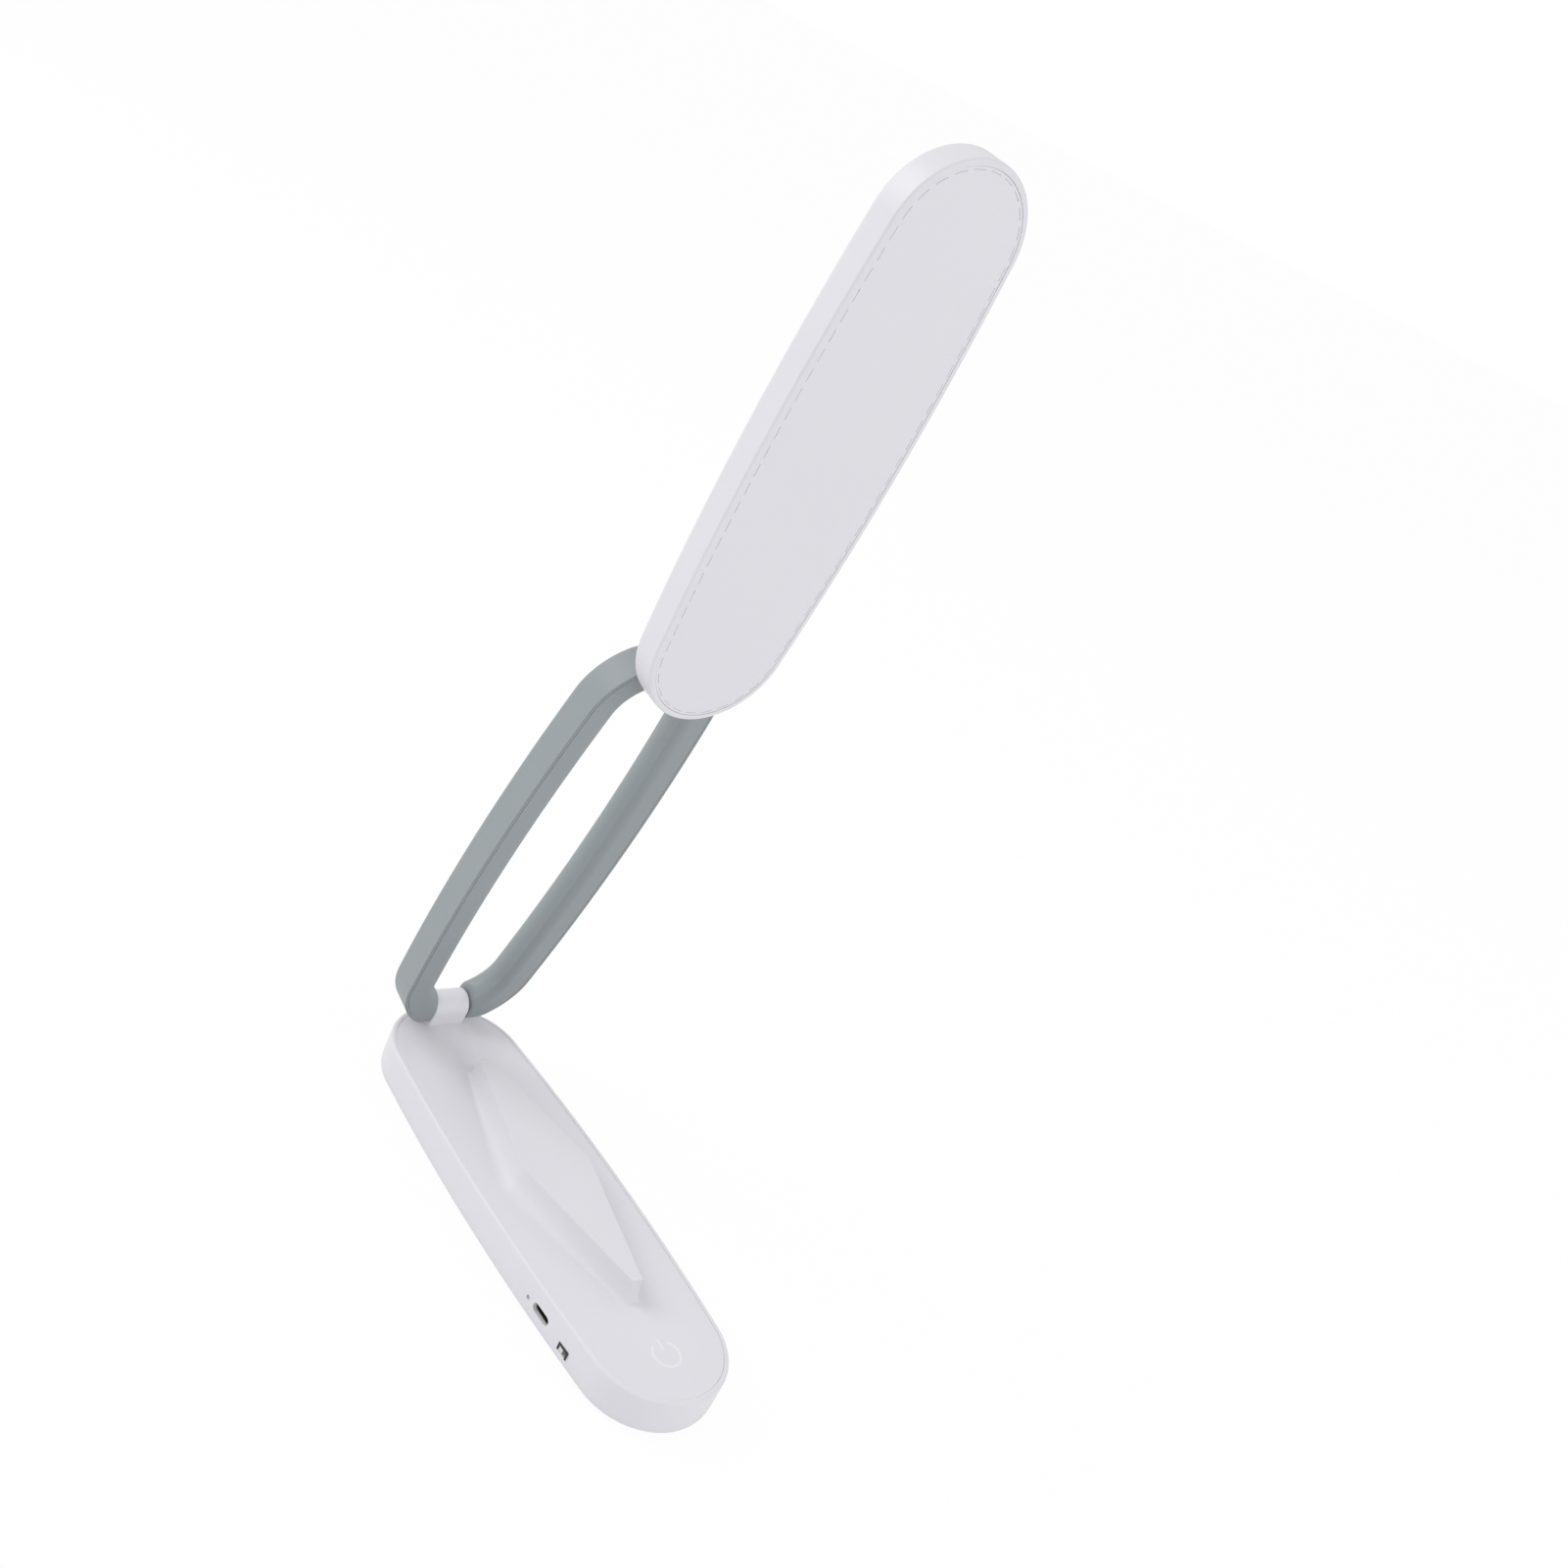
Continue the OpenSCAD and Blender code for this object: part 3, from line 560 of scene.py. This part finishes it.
# %% Knuckles
STRAP_STEPS = 40
STRAP_ROUND = 0.8
STEM_FRONT_X, STEM_BACK_X, STEM_Z = -89.6, -96.8, 14.0      # foot of the base's strap
HEAD_STEM_HALF, HEAD_STEM_Z = 4.2, -2.0                     # foot of the head's strap
LOWER_BORE, UPPER_BORE = 3.4, 3.45
BORE_LENGTH = 40


def tangent_angle(centre, radius, foot, side):
    """Angle at which a line from the foot touches the circle, on its +1 or -1 side."""
    dx, dz = foot[0] - centre[0], foot[1] - centre[1]
    return math.atan2(dz, dx) + side * math.acos(radius / math.hypot(dx, dz))


def knuckle(centre, foot_front, foot_back):
    """A strap round a hinge; centre and feet are (x, z)."""
    bm = bmesh.new()
    radius, y = KNUCKLE_RADIUS, -KNUCKLE_HALF
    a0 = tangent_angle(centre, radius, foot_front, 1)
    a1 = tangent_angle(centre, radius, foot_back, -1)
    while a1 < a0:
        a1 += 2 * math.pi
    first = bm.verts.new((centre[0] + radius * math.cos(a0), y, centre[1] + radius * math.sin(a0)))
    last = vertices(spin(bm, [first], (centre[0], y, centre[1]), (0, -1, 0), a1 - a0, STRAP_STEPS))[0]
    back = bm.verts.new((foot_back[0], y, foot_back[1]))
    front = bm.verts.new((foot_front[0], y, foot_front[1]))
    for a, b in ((last, back), (back, front), (front, first)):
        bm.edges.new((a, b))
    face = bmesh.ops.contextual_create(bm, geom=bm.edges[:])["faces"]
    grown = bmesh.ops.extrude_face_region(bm, geom=face, use_keep_orig=True)["geom"]
    bmesh.ops.translate(bm, vec=(0, 2 * KNUCKLE_HALF, 0), verts=vertices(grown))
    bevel(bm, [e for e in bm.edges if abs(e.verts[0].co.y - e.verts[1].co.y) < 1e-6], STRAP_ROUND, 5)
    return bm


strap = knuckle((-HINGE_X, HINGE_Z), (STEM_FRONT_X, STEM_Z), (STEM_BACK_X, STEM_Z))
base_strap = place(strap, "base_strap", "base", strap_abs)
cut(base_strap, rod((-HINGE_X, 0, HINGE_Z), LOWER_BORE, BORE_LENGTH, 48))
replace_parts(base_strap, "base_knuckle")
# The head's strap is drawn upwards, like the base's, and then turned over.
strap = knuckle((-HINGE_X, HEAD_OFFSET), (-HINGE_X + HEAD_STEM_HALF, HEAD_STEM_Z),
                (-HINGE_X - HEAD_STEM_HALF, HEAD_STEM_Z))
head_strap = place(strap, "head_strap", "head", strap_abs, ON_HEAD @ Matrix.Scale(-1, 4, UP))
cut(head_strap, rod((-HINGE_X, 0, -HEAD_OFFSET), UPPER_BORE, BORE_LENGTH, 48), ON_HEAD)
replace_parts(head_strap, "head_knuckle")

# %% [markdown]
# ## The arm
# Each limb is a back shell and a front cover, swept along half of the outline. The section is
# drawn once and spun about the centre of the long arc, then about the centre of the end arc.
# Bisect trims it beside the knuckle, and Mirror makes the other half. Three changes are made to
# the vertices before the mirroring: the groove between shell and cover runs out towards the
# knuckle, the end turns round the hinge like a barrel, and its rim beside the knuckle is rounded.

# %% Limbs
LIMB_WIDTH = 13.5
ROUND_AT = 8.0                                  # inset at which the inner side starts to round
LIMB_END = 8.5                                  # y at which the limb stops beside the knuckle
SIDE_SWEEP, END_SWEEP = 12, 30                  # steps along the side arc and the end arc
FADE_FROM, FADE_TO = 60, 36                     # the groove runs out between these angles
GROOVE = (0.3, 1.45)                            # insets between which it lies
SEAM = (0.3, 0.4)                               # insets of the cover's edge at the seam
SEAM_GAP = 0.14
MOUTH_ROUND = 0.9                               # rounding of the end face beside the knuckle
MOUTH_RIM = 2.0                                 # width of the rim that is rounded
ARM_END_X = ARM_HALF_LENGTH - END_RADIUS


def slice_across(bm, y, keep):
    """Cuts the mesh in a plane of one y; keep says whether the side with more y stays."""
    bmesh.ops.bisect_plane(bm, geom=bm.verts[:] + bm.edges[:] + bm.faces[:], dist=1e-5, plane_co=(0, y, 0),
                           plane_no=(0, 1, 0), clear_outer=not keep, clear_inner=False)


def inner_round(a0, a1, steps):
    """(inset, z) points of the limb's half-elliptical inner side between two angles."""
    return [(ROUND_AT + (LIMB_WIDTH - ROUND_AT) * math.cos(math.radians(a0 + (a1 - a0) * i / steps)),
             ARM_HALF_THICK * math.sin(math.radians(a0 + (a1 - a0) * i / steps))) for i in range(steps + 1)]


def limb(section, side):
    """One limb's shell or cover from its section; side is -1 for left and 1 for right."""
    bm = bmesh.new()
    ring = [bm.verts.new((0, -HALF_WIDTH + inset, z)) for inset, z in section]
    face = bm.faces.new(ring)
    join = join_angle(ARM_HALF_LENGTH)
    geom = [face] + face.edges[:] + face.verts[:]
    long_centre = (0, side_radius(ARM_HALF_LENGTH) - HALF_WIDTH, 0)
    geom = spin(bm, geom, long_centre, UP, math.pi / 2 - join, SIDE_SWEEP)
    spin(bm, geom, (ARM_END_X, 0, 0), UP, join, END_SWEEP)
    slice_across(bm, -LIMB_END, False)
    mouth = [e for e in bm.edges if e.is_boundary and all(abs(v.co.y + LIMB_END) < 1e-3 for v in e.verts)]
    bmesh.ops.contextual_create(bm, geom=mouth)
    for f in [f for f in bm.faces if all(abs(v.co.x) < 1e-6 for v in f.verts)]:
        bmesh.ops.delete(bm, geom=[f], context="FACES_ONLY")
    for v in bm.verts:
        if v.co.x > ARM_END_X:
            reach = math.hypot(v.co.x - ARM_END_X, v.co.y)
            inset = END_RADIUS - reach
            fade = ease(FADE_FROM, FADE_TO, math.degrees(math.atan2(-v.co.y, v.co.x - ARM_END_X)))
            if v.co.z < -6 and GROOVE[0] < inset < GROOVE[1]:
                v.co.z -= fade * (ARM_HALF_THICK + v.co.z)
            if v.co.z < -5 and SEAM[0] < inset < SEAM[1]:
                v.co.x += (v.co.x - ARM_END_X) * fade * SEAM_GAP / reach
                v.co.y += v.co.y * fade * SEAM_GAP / reach
    for step in (0.1, 0.3, 0.6):
        slice_across(bm, -LIMB_END - step * MOUTH_ROUND, True)
    for v in bm.verts:
        out = v.co.x - (ARM_HALF_LENGTH - ARM_HALF_THICK)
        far = math.hypot(out, v.co.z)
        near = far
        if out > 0 and far > ARM_HALF_THICK:
            near = ARM_HALF_THICK
        left = MOUTH_ROUND - (-LIMB_END - v.co.y)
        if left > 0 and far > ARM_HALF_THICK - MOUTH_RIM:
            near -= MOUTH_ROUND - math.sqrt(max(0.0, MOUTH_ROUND ** 2 - left ** 2))
        v.co.x += out * (near / far - 1)
        v.co.z *= near / far
    bmesh.ops.mirror(bm, geom=bm.verts[:] + bm.edges[:] + bm.faces[:], matrix=Matrix.Identity(4),
                     merge_dist=0.001, axis="X", mirror_u=False, mirror_v=False)
    if side > 0:
        bmesh.ops.scale(bm, vec=(1, -1, 1), verts=bm.verts)
    bmesh.ops.translate(bm, vec=(HINGE_X, 0, 0), verts=bm.verts)
    return bm


SPLIT = -4.4                    # z at which shell and cover part on the inner side
split_angle = math.degrees(math.asin(SPLIT / ARM_HALF_THICK))
shell_section = (inner_round(split_angle, 90, 18)
                 + [(2.6, 6.45), (1.5, 6.42), (1.0, 6.3), (0.5, 5.98), (0.16, 5.5), (0.02, 5.0), (0.0, 4.4),
                    (0.0, -6.15), (0.02, -6.28), (0.1, -6.38), (0.16, -6.38), (0.16, -5.2), (0.5, SPLIT)])
cover_section = (inner_round(-90, split_angle - 0.25, 8)
                 + [(0.6, SPLIT - 0.04), (0.32, -5.2), (0.32, -6.3), (0.38, -6.39), (1.14, -6.39),
                    (1.18, -6.15), (1.36, -6.15), (1.4, -6.42), (1.7, -6.45)])
for side, word in ((-1, "left"), (1, "right")):
    shell = place(limb(shell_section, side), word + "_arm_shell", "arm", grey_abs, ON_ARM, sharp=34)
    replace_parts(shell, word + "_limb")
    # The cover takes the darker grey, which is painted shade on the front faces.
    front = place(limb(cover_section, side), word + "_arm_front", "arm", front_abs_painted_shade, ON_ARM, sharp=34)
    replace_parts(front, word + "_limb_cover")

# %% [markdown]
# ## The head
# The head is a shallow tray like the base, only thinner, closed by the opal light panel. The
# panel stops a little short of the rim, all round, and leaves a fine dark seam. A line of short
# grooves runs round the panel just inside the seam, like stitches. They are cut with small bars.

# %% Head shell and light panel
HEAD_BACK_ROUND, HEAD_RIM_ROUND = 2.4, 0.95
HEAD_WALL, HEAD_BACK = 2.2, 1.8
SHELL = (fillet(HEAD_BACK_ROUND, HEAD_BACK_ROUND, HEAD_BACK_ROUND, -90, 8)
         + fillet(HEAD_RIM_ROUND, HEAD_THICK - HEAD_RIM_ROUND, HEAD_RIM_ROUND, 0, 6)
         + [(HEAD_WALL, HEAD_THICK), (HEAD_WALL, HEAD_BACK)])
head_shell = place(plate(SHELL), "head_shell", "head", white_abs, ON_HEAD, sharp=40)
SLOT_HALF_X, SLOT_HALF_Y = 4.65, 8.1            # opening for the knuckle in the head's back
slot = bmesh.new()
block(slot, (-HINGE_X - SLOT_HALF_X, -HINGE_X + SLOT_HALF_X), (-SLOT_HALF_Y, SLOT_HALF_Y), (-1, 3))
cut(head_shell, slot, ON_HEAD)
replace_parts(head_shell, "head_housing")
PANEL_EDGE, PANEL_BACK, PANEL_TOP = 2.27, 9.8, 11.6
panel = plate([(PANEL_EDGE, PANEL_BACK), (PANEL_EDGE, PANEL_TOP - 0.15),
               (PANEL_EDGE + 0.04, PANEL_TOP - 0.05), (PANEL_EDGE + 0.15, PANEL_TOP)])
light_panel = place(panel, "light_panel", "head", opal_pc, ON_HEAD, sharp=40)
STITCH_INSET, STITCH_PITCH, STITCH_SHARE = 3.3, 6.8, 0.65
STITCH_WIDTH, STITCH_DEPTH = 0.24, 0.2


def stitches(bm, centre, radius, start, sweep):
    """Short bars along an arc: each one is a small face spun about the arc's centre."""
    low, high = PANEL_TOP - STITCH_DEPTH, PANEL_TOP + 0.3
    count = round(radius * sweep / STITCH_PITCH)
    for k in range(count):
        angle = start + sweep * (k + 0.5 - STITCH_SHARE / 2) / count
        out = Vector((math.cos(angle), math.sin(angle)))
        spots = [(radius + side * STITCH_WIDTH / 2, height) for side, height in
                 ((-1, low), (1, low), (1, high), (-1, high))]
        face = bm.faces.new([bm.verts.new((*(centre + r * out), height)) for r, height in spots])
        spin(bm, [face] + face.edges[:] + face.verts[:], (*centre, 0), UP, sweep * STITCH_SHARE / count, 3)


stitch_line = bmesh.new()
join = join_angle(HALF_LENGTH)
long_radius = side_radius(HALF_LENGTH)
for sign in (1, -1):
    half_turn = 0 if sign > 0 else math.pi
    stitches(stitch_line, Vector((sign * (HALF_LENGTH - END_RADIUS), 0)), END_RADIUS - STITCH_INSET,
             half_turn - join, 2 * join)
    stitches(stitch_line, Vector((0, -sign * (long_radius - HALF_WIDTH))), long_radius - STITCH_INSET,
             half_turn + join, math.pi - 2 * join)
cut(light_panel, stitch_line, ON_HEAD, sharp=40)
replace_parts(light_panel, "diffuser")

# %% [markdown]
# ## Socket, switch and touch mark
# The USB-C socket is a nickel shell round a black tongue with gold contacts. The slide switch
# shows a black frame, open below, and a ribbed white nub at one end of its slot. The nub's stem
# is drawn out of the cap's back face, so that the Boolean gets one closed shell. On the deck a
# mark, raised by less than a tenth of a millimetre, shows where to touch: a ring that is open
# towards the island, with a short bar in the gap. The ring is a small face spun about its centre.

# %% Socket, switch and mark
usb_shell = place(stadium_bar(9.0, 3.2, -28.6, -21.4), "usb_shell", "base", nickel)
cut(usb_shell, stadium_bar(8.3, 2.5, -30, -22.4))
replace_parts(usb_shell, "usb_socket")
TONGUE_HALF_X, TONGUE_HALF_Z = 3.35, 0.35
CONTACTS, CONTACT_PITCH, CONTACT_HALF = 12, 0.5, 0.13
CONTACT_RISE = 0.02
tongue = bmesh.new()
block(tongue, (USB_X - TONGUE_HALF_X, USB_X + TONGUE_HALF_X), (-27.8, -22.3),
      (USB_Z - TONGUE_HALF_Z, USB_Z + TONGUE_HALF_Z))
bevel(tongue, [e for e in tongue.edges if all(v.co.y < -27 for v in e.verts)], 0.15, 2)
usb_tongue = place(tongue, "usb_tongue", "base", black_switch)
strips = bmesh.new()
for k in range(CONTACTS):
    x = USB_X + CONTACT_PITCH * (k - (CONTACTS - 1) / 2)
    for face_z in (USB_Z - TONGUE_HALF_Z - CONTACT_RISE, USB_Z + TONGUE_HALF_Z):
        block(strips, (x - CONTACT_HALF, x + CONTACT_HALF), (-27.5, -24.5), (face_z, face_z + CONTACT_RISE))
usb_contacts = place(strips, "usb_contacts", "base", gold)

KNOB_X = 62.9
KNOB_HALF, KNOB_TRAVEL, KNOB_PLAY = 1.05, 2.0, 0.15
FRAME_GAP = 0.02                # between the switch's frame and the window in the wall
GRIP_PITCH, GRIP_HALF = 0.55, 0.12
frame_half_x, frame_half_z = WINDOW_HALF_X - FRAME_GAP, WINDOW_HALF_Z - FRAME_GAP
frame_plate = bmesh.new()
block(frame_plate, (SWITCH_X - frame_half_x, SWITCH_X + frame_half_x), (-29.1, -28.3),
      (SWITCH_Z - frame_half_z, SWITCH_Z + frame_half_z))
switch_frame = place(frame_plate, "switch_frame", "base", black_switch)
slide_slot = bmesh.new()
block(slide_slot, (KNOB_X - KNOB_HALF - KNOB_PLAY, KNOB_X + KNOB_HALF + KNOB_TRAVEL + KNOB_PLAY), (-31, -28),
      (SWITCH_Z - 2.0, SWITCH_Z + 0.6))
cut(switch_frame, slide_slot)
nub = bmesh.new()
block(nub, (KNOB_X - KNOB_HALF, KNOB_X + KNOB_HALF), (-28.9, -27.0), (SWITCH_Z - 1.5, SWITCH_Z + 0.45))
bevel(nub, [e for e in nub.edges if all(v.co.y < -28 for v in e.verts)], 0.2, 3)
stem = next(f for f in nub.faces if all(v.co.y > -27.01 for v in f.verts))
for y in (-27.0, -23.4):        # narrowed in its plane first, then drawn out
    grown = bmesh.ops.extrude_face_region(nub, geom=[stem] + stem.edges[:] + stem.verts[:])["geom"]
    stem = next(part for part in grown if isinstance(part, bmesh.types.BMFace))
    for v in stem.verts:
        rise = 0.4 if v.co.z > SWITCH_Z else -1.2
        v.co = (KNOB_X + math.copysign(1.0, v.co.x - KNOB_X), y, SWITCH_Z + rise)
# The nub's lighter white is painted light against the frame's shade.
switch_nub = place(nub, "switch_nub", "switch_knob", nub_painted_light_and_mark_print)
grips = bmesh.new()
for x in (KNOB_X - GRIP_PITCH, KNOB_X, KNOB_X + GRIP_PITCH):
    block(grips, (x - GRIP_HALF, x + GRIP_HALF), (-30, -28.7), (SWITCH_Z - 2, SWITCH_Z + 2))
cut(switch_nub, grips)
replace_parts(switch_nub, "switch_knob")

MARK_X, MARK_RADIUS, MARK_LINE = 82.4, 5.3, 1.0
MARK_GAP = math.radians(70)
MARK_BAR = (6.9, 2.1)           # ends of the bar, measured from the ring's centre
mark_z = (DECK_Z - 0.1, DECK_Z + 0.06)
mark = bmesh.new()
inner, outer = (MARK_RADIUS + side * MARK_LINE / 2 for side in (-1, 1))
lean = math.pi + MARK_GAP / 2
corners = [(MARK_X + r * math.cos(lean), r * math.sin(lean), z) for r, z in
           ((inner, mark_z[0]), (outer, mark_z[0]), (outer, mark_z[1]), (inner, mark_z[1]))]
section = mark.faces.new([mark.verts.new(c) for c in corners])
spin(mark, [section] + section.edges[:] + section.verts[:], (MARK_X, 0, 0), UP, 2 * math.pi - MARK_GAP, 48)
block(mark, (MARK_X - MARK_BAR[0], MARK_X - MARK_BAR[1]), (-MARK_LINE / 2, MARK_LINE / 2), mark_z)
# On the mark the lighter white is its print.
touch_mark = place(mark, "touch_mark", "base", nub_painted_light_and_mark_print)

# %% [markdown]
# ## Feet and screws
# The feet are rubber discs with a rounded lower rim. The screws that show, under the base and
# on the back of the arm, get a domed rim and a cross recess, which is cut with two bars.

# %% Feet and screws
pads = bmesh.new()
for x, y in FEET_AT:
    post(pads, x, y, (0, FOOT_TOP), FOOT_RADIUS, 48)
bevel(pads, [e for e in pads.edges if all(v.co.z < 0.01 for v in e.verts)], 0.4, 4)
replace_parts(place(pads, "rubber_pads", "base", grey_rubber), "rubber_feet")


CROSS_LONG, CROSS_WIDE = 0.62, 0.13             # half sizes of a bar of the cross, in head radii


def screws(name, node, body, places, shank, head, face_z, depth, where=ON_BASE):
    """Screws on upright axes; shank and head are (radius, z, z), the recess starts at face_z."""
    bm = bmesh.new()
    for x, y in places:
        post(bm, x, y, shank[1:], shank[0], 24)
        post(bm, x, y, head[1:], head[0], 40)
    bevel(bm, [e for e in bm.edges if all(abs(v.co.z - face_z) < 1e-4 for v in e.verts)], 0.2, 3)
    piece = place(bm, name, body, zinc_steel, where)
    recess = bmesh.new()
    low, high = sorted((face_z - depth, face_z + depth))
    for x, y in places:
        for share_x, share_y in ((CROSS_LONG, CROSS_WIDE), (CROSS_WIDE, CROSS_LONG)):
            half_x, half_y = share_x * head[0], share_y * head[0]
            block(recess, (x - half_x, x + half_x), (y - half_y, y + half_y), (low, high))
    cut(piece, recess, where)
    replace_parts(piece, node)


screws("base_screw_set", "base_screws", "base", SCREWS_AT,
       shank=(1.3, 2.2, 12.0), head=(2.8, 1.2, HEAD_SEAT), face_z=1.2, depth=0.7)
LIMB_SCREW_END, LIMB_SCREW_INSET = 28.0, 3.6    # distance from a hinge, and from the limb's outer side
radius = side_radius(ARM_HALF_LENGTH)
limb_screws_at = []
for x in (LIMB_SCREW_END, HINGE_X, 2 * HINGE_X - LIMB_SCREW_END):
    y = radius - HALF_WIDTH - math.sqrt((radius - LIMB_SCREW_INSET) ** 2 - (x - HINGE_X) ** 2)
    limb_screws_at += [(x, y), (x, -y)]
screws("limb_screw_set", "limb_screws", "arm", limb_screws_at,
       shank=(0.8, -4.2, 5.65), head=(1.6, 5.6, 6.3), face_z=6.3, depth=0.5, where=ON_ARM)

# %% [markdown]
# ## Finish of the parts that stay as CAD
# A CAD node keeps its mesh and takes its finish in its material slot.

# %% Finishes of CAD nodes
CAD_FINISH = {
    "knuckle_screws": zinc_steel, "head_knuckle_screws": zinc_steel, "led_screws": zinc_steel,
    "weight_plate": zinc_steel, "lower_washers": zinc_steel, "upper_washers": zinc_steel,
    "lower_pins": pin_steel, "upper_pins": pin_steel,
    "lower_bushes": black_acetal, "upper_bushes": black_acetal,
    "base_lead": black_pvc, "arm_lead": black_pvc, "head_lead": black_pvc,
    "battery": blue_wrap, "main_board": green_board, "switch_body": black_switch,
    "charge_light": clear_pipe, "touch_pad": copper,
    "led_board": white_board, "led_chips": phosphor, "reflector_frame": white_tray,
}
for name, material in CAD_FINISH.items():
    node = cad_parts[name]
    node.data.materials.clear()
    node.data.materials.append(material)
print(len(CAD_FINISH), "CAD nodes finished")

# %% [markdown]
# ## Floor and light
# The floor is a large pale sheet. To the camera it is nearly white, but it keeps the lamp's
# shadow. The world is an even white dome. Two large soft lamps give the flanks of the island
# their gentle step in tone: the stronger one stands behind the lamp on its socket side, and the
# weaker one in front of it on the other side.

# %% Floor, world and lamps
FLOOR_HALF = 40.0
GLOW_SHARE = 0.95               # share of the paper that glows white to the camera
DOME_LEVEL = 0.8
floor_mesh = bmesh.new()
bmesh.ops.create_grid(floor_mesh, x_segments=4, y_segments=4, size=FLOOR_HALF)
mesh = bpy.data.meshes.new("floor")
floor_mesh.to_mesh(mesh)
floor_mesh.free()
floor = bpy.data.objects.new("floor", mesh)
bpy.context.scene.collection.objects.link(floor)
paper = bpy.data.materials.new("white paper sweep")
paper.use_nodes = True
tree = paper.node_tree
tree.nodes.clear()
path = add(tree, "ShaderNodeLightPath")
seen = add(tree, "ShaderNodeMath", {"operation": "MAXIMUM"}, i0=path.outputs["Is Camera Ray"],
           i1=path.outputs["Is Glossy Ray"])
where = add(tree, "ShaderNodeTexCoord").outputs["Object"]
fibre = add(tree, "ShaderNodeTexNoise", Vector=where, Scale=180.0, Detail=4.0)
tone = add(tree, "ShaderNodeMix", {"data_type": "RGBA"}, i0=fibre.outputs["Fac"], i6=linear("#f4f4f5"),
           i7=linear("#f8f8f8"))
sheet = add(tree, "ShaderNodeBsdfDiffuse", Color=tone.outputs[2])
glow = add(tree, "ShaderNodeEmission", Color=(1, 1, 1, 1), Strength=1.0)
share = add(tree, "ShaderNodeMath", {"operation": "MULTIPLY"}, i0=seen.outputs[0], i1=GLOW_SHARE)
mixed = add(tree, "ShaderNodeMixShader", i0=share.outputs[0], i1=sheet.outputs[0], i2=glow.outputs[0])
add(tree, "ShaderNodeOutputMaterial", Surface=mixed.outputs[0])
floor.data.materials.append(paper)

world = bpy.data.worlds.new("studio")
world.use_nodes = True
tree = world.node_tree
tree.nodes.clear()
path = add(tree, "ShaderNodeLightPath")
seen = add(tree, "ShaderNodeMath", {"operation": "MAXIMUM"}, i0=path.outputs["Is Camera Ray"],
           i1=path.outputs["Is Transmission Ray"])
dome = add(tree, "ShaderNodeBackground", Color=(1, 1, 1, 1), Strength=DOME_LEVEL)
white = add(tree, "ShaderNodeBackground", Color=(1, 1, 1, 1), Strength=1.0)
mixed = add(tree, "ShaderNodeMixShader", i0=seen.outputs[0], i1=dome.outputs[0], i2=white.outputs[0])
add(tree, "ShaderNodeOutputWorld", Surface=mixed.outputs[0])
bpy.context.scene.world = world


def soft_lamp(name, at, aim, size, watts):
    data = bpy.data.lights.new(name, "AREA")
    data.shape = "DISK"
    data.size = size
    data.energy = watts
    lamp = bpy.data.objects.new(name, data)
    away = Vector(at) - Vector(aim)
    lamp.matrix_world = Matrix.Translation(at) @ away.to_track_quat("Z", "Y").to_matrix().to_4x4()
    bpy.context.scene.collection.objects.link(lamp)


soft_lamp("key", at=(-1.2, -1.1, 1.35), aim=(0, 0, 0.15), size=1.2, watts=13.0)
soft_lamp("front", at=(1.7, 0.7, 0.9), aim=(0, 0, 0.2), size=1.4, watts=6.8)
bpy.context.scene.view_settings.view_transform = "Standard"
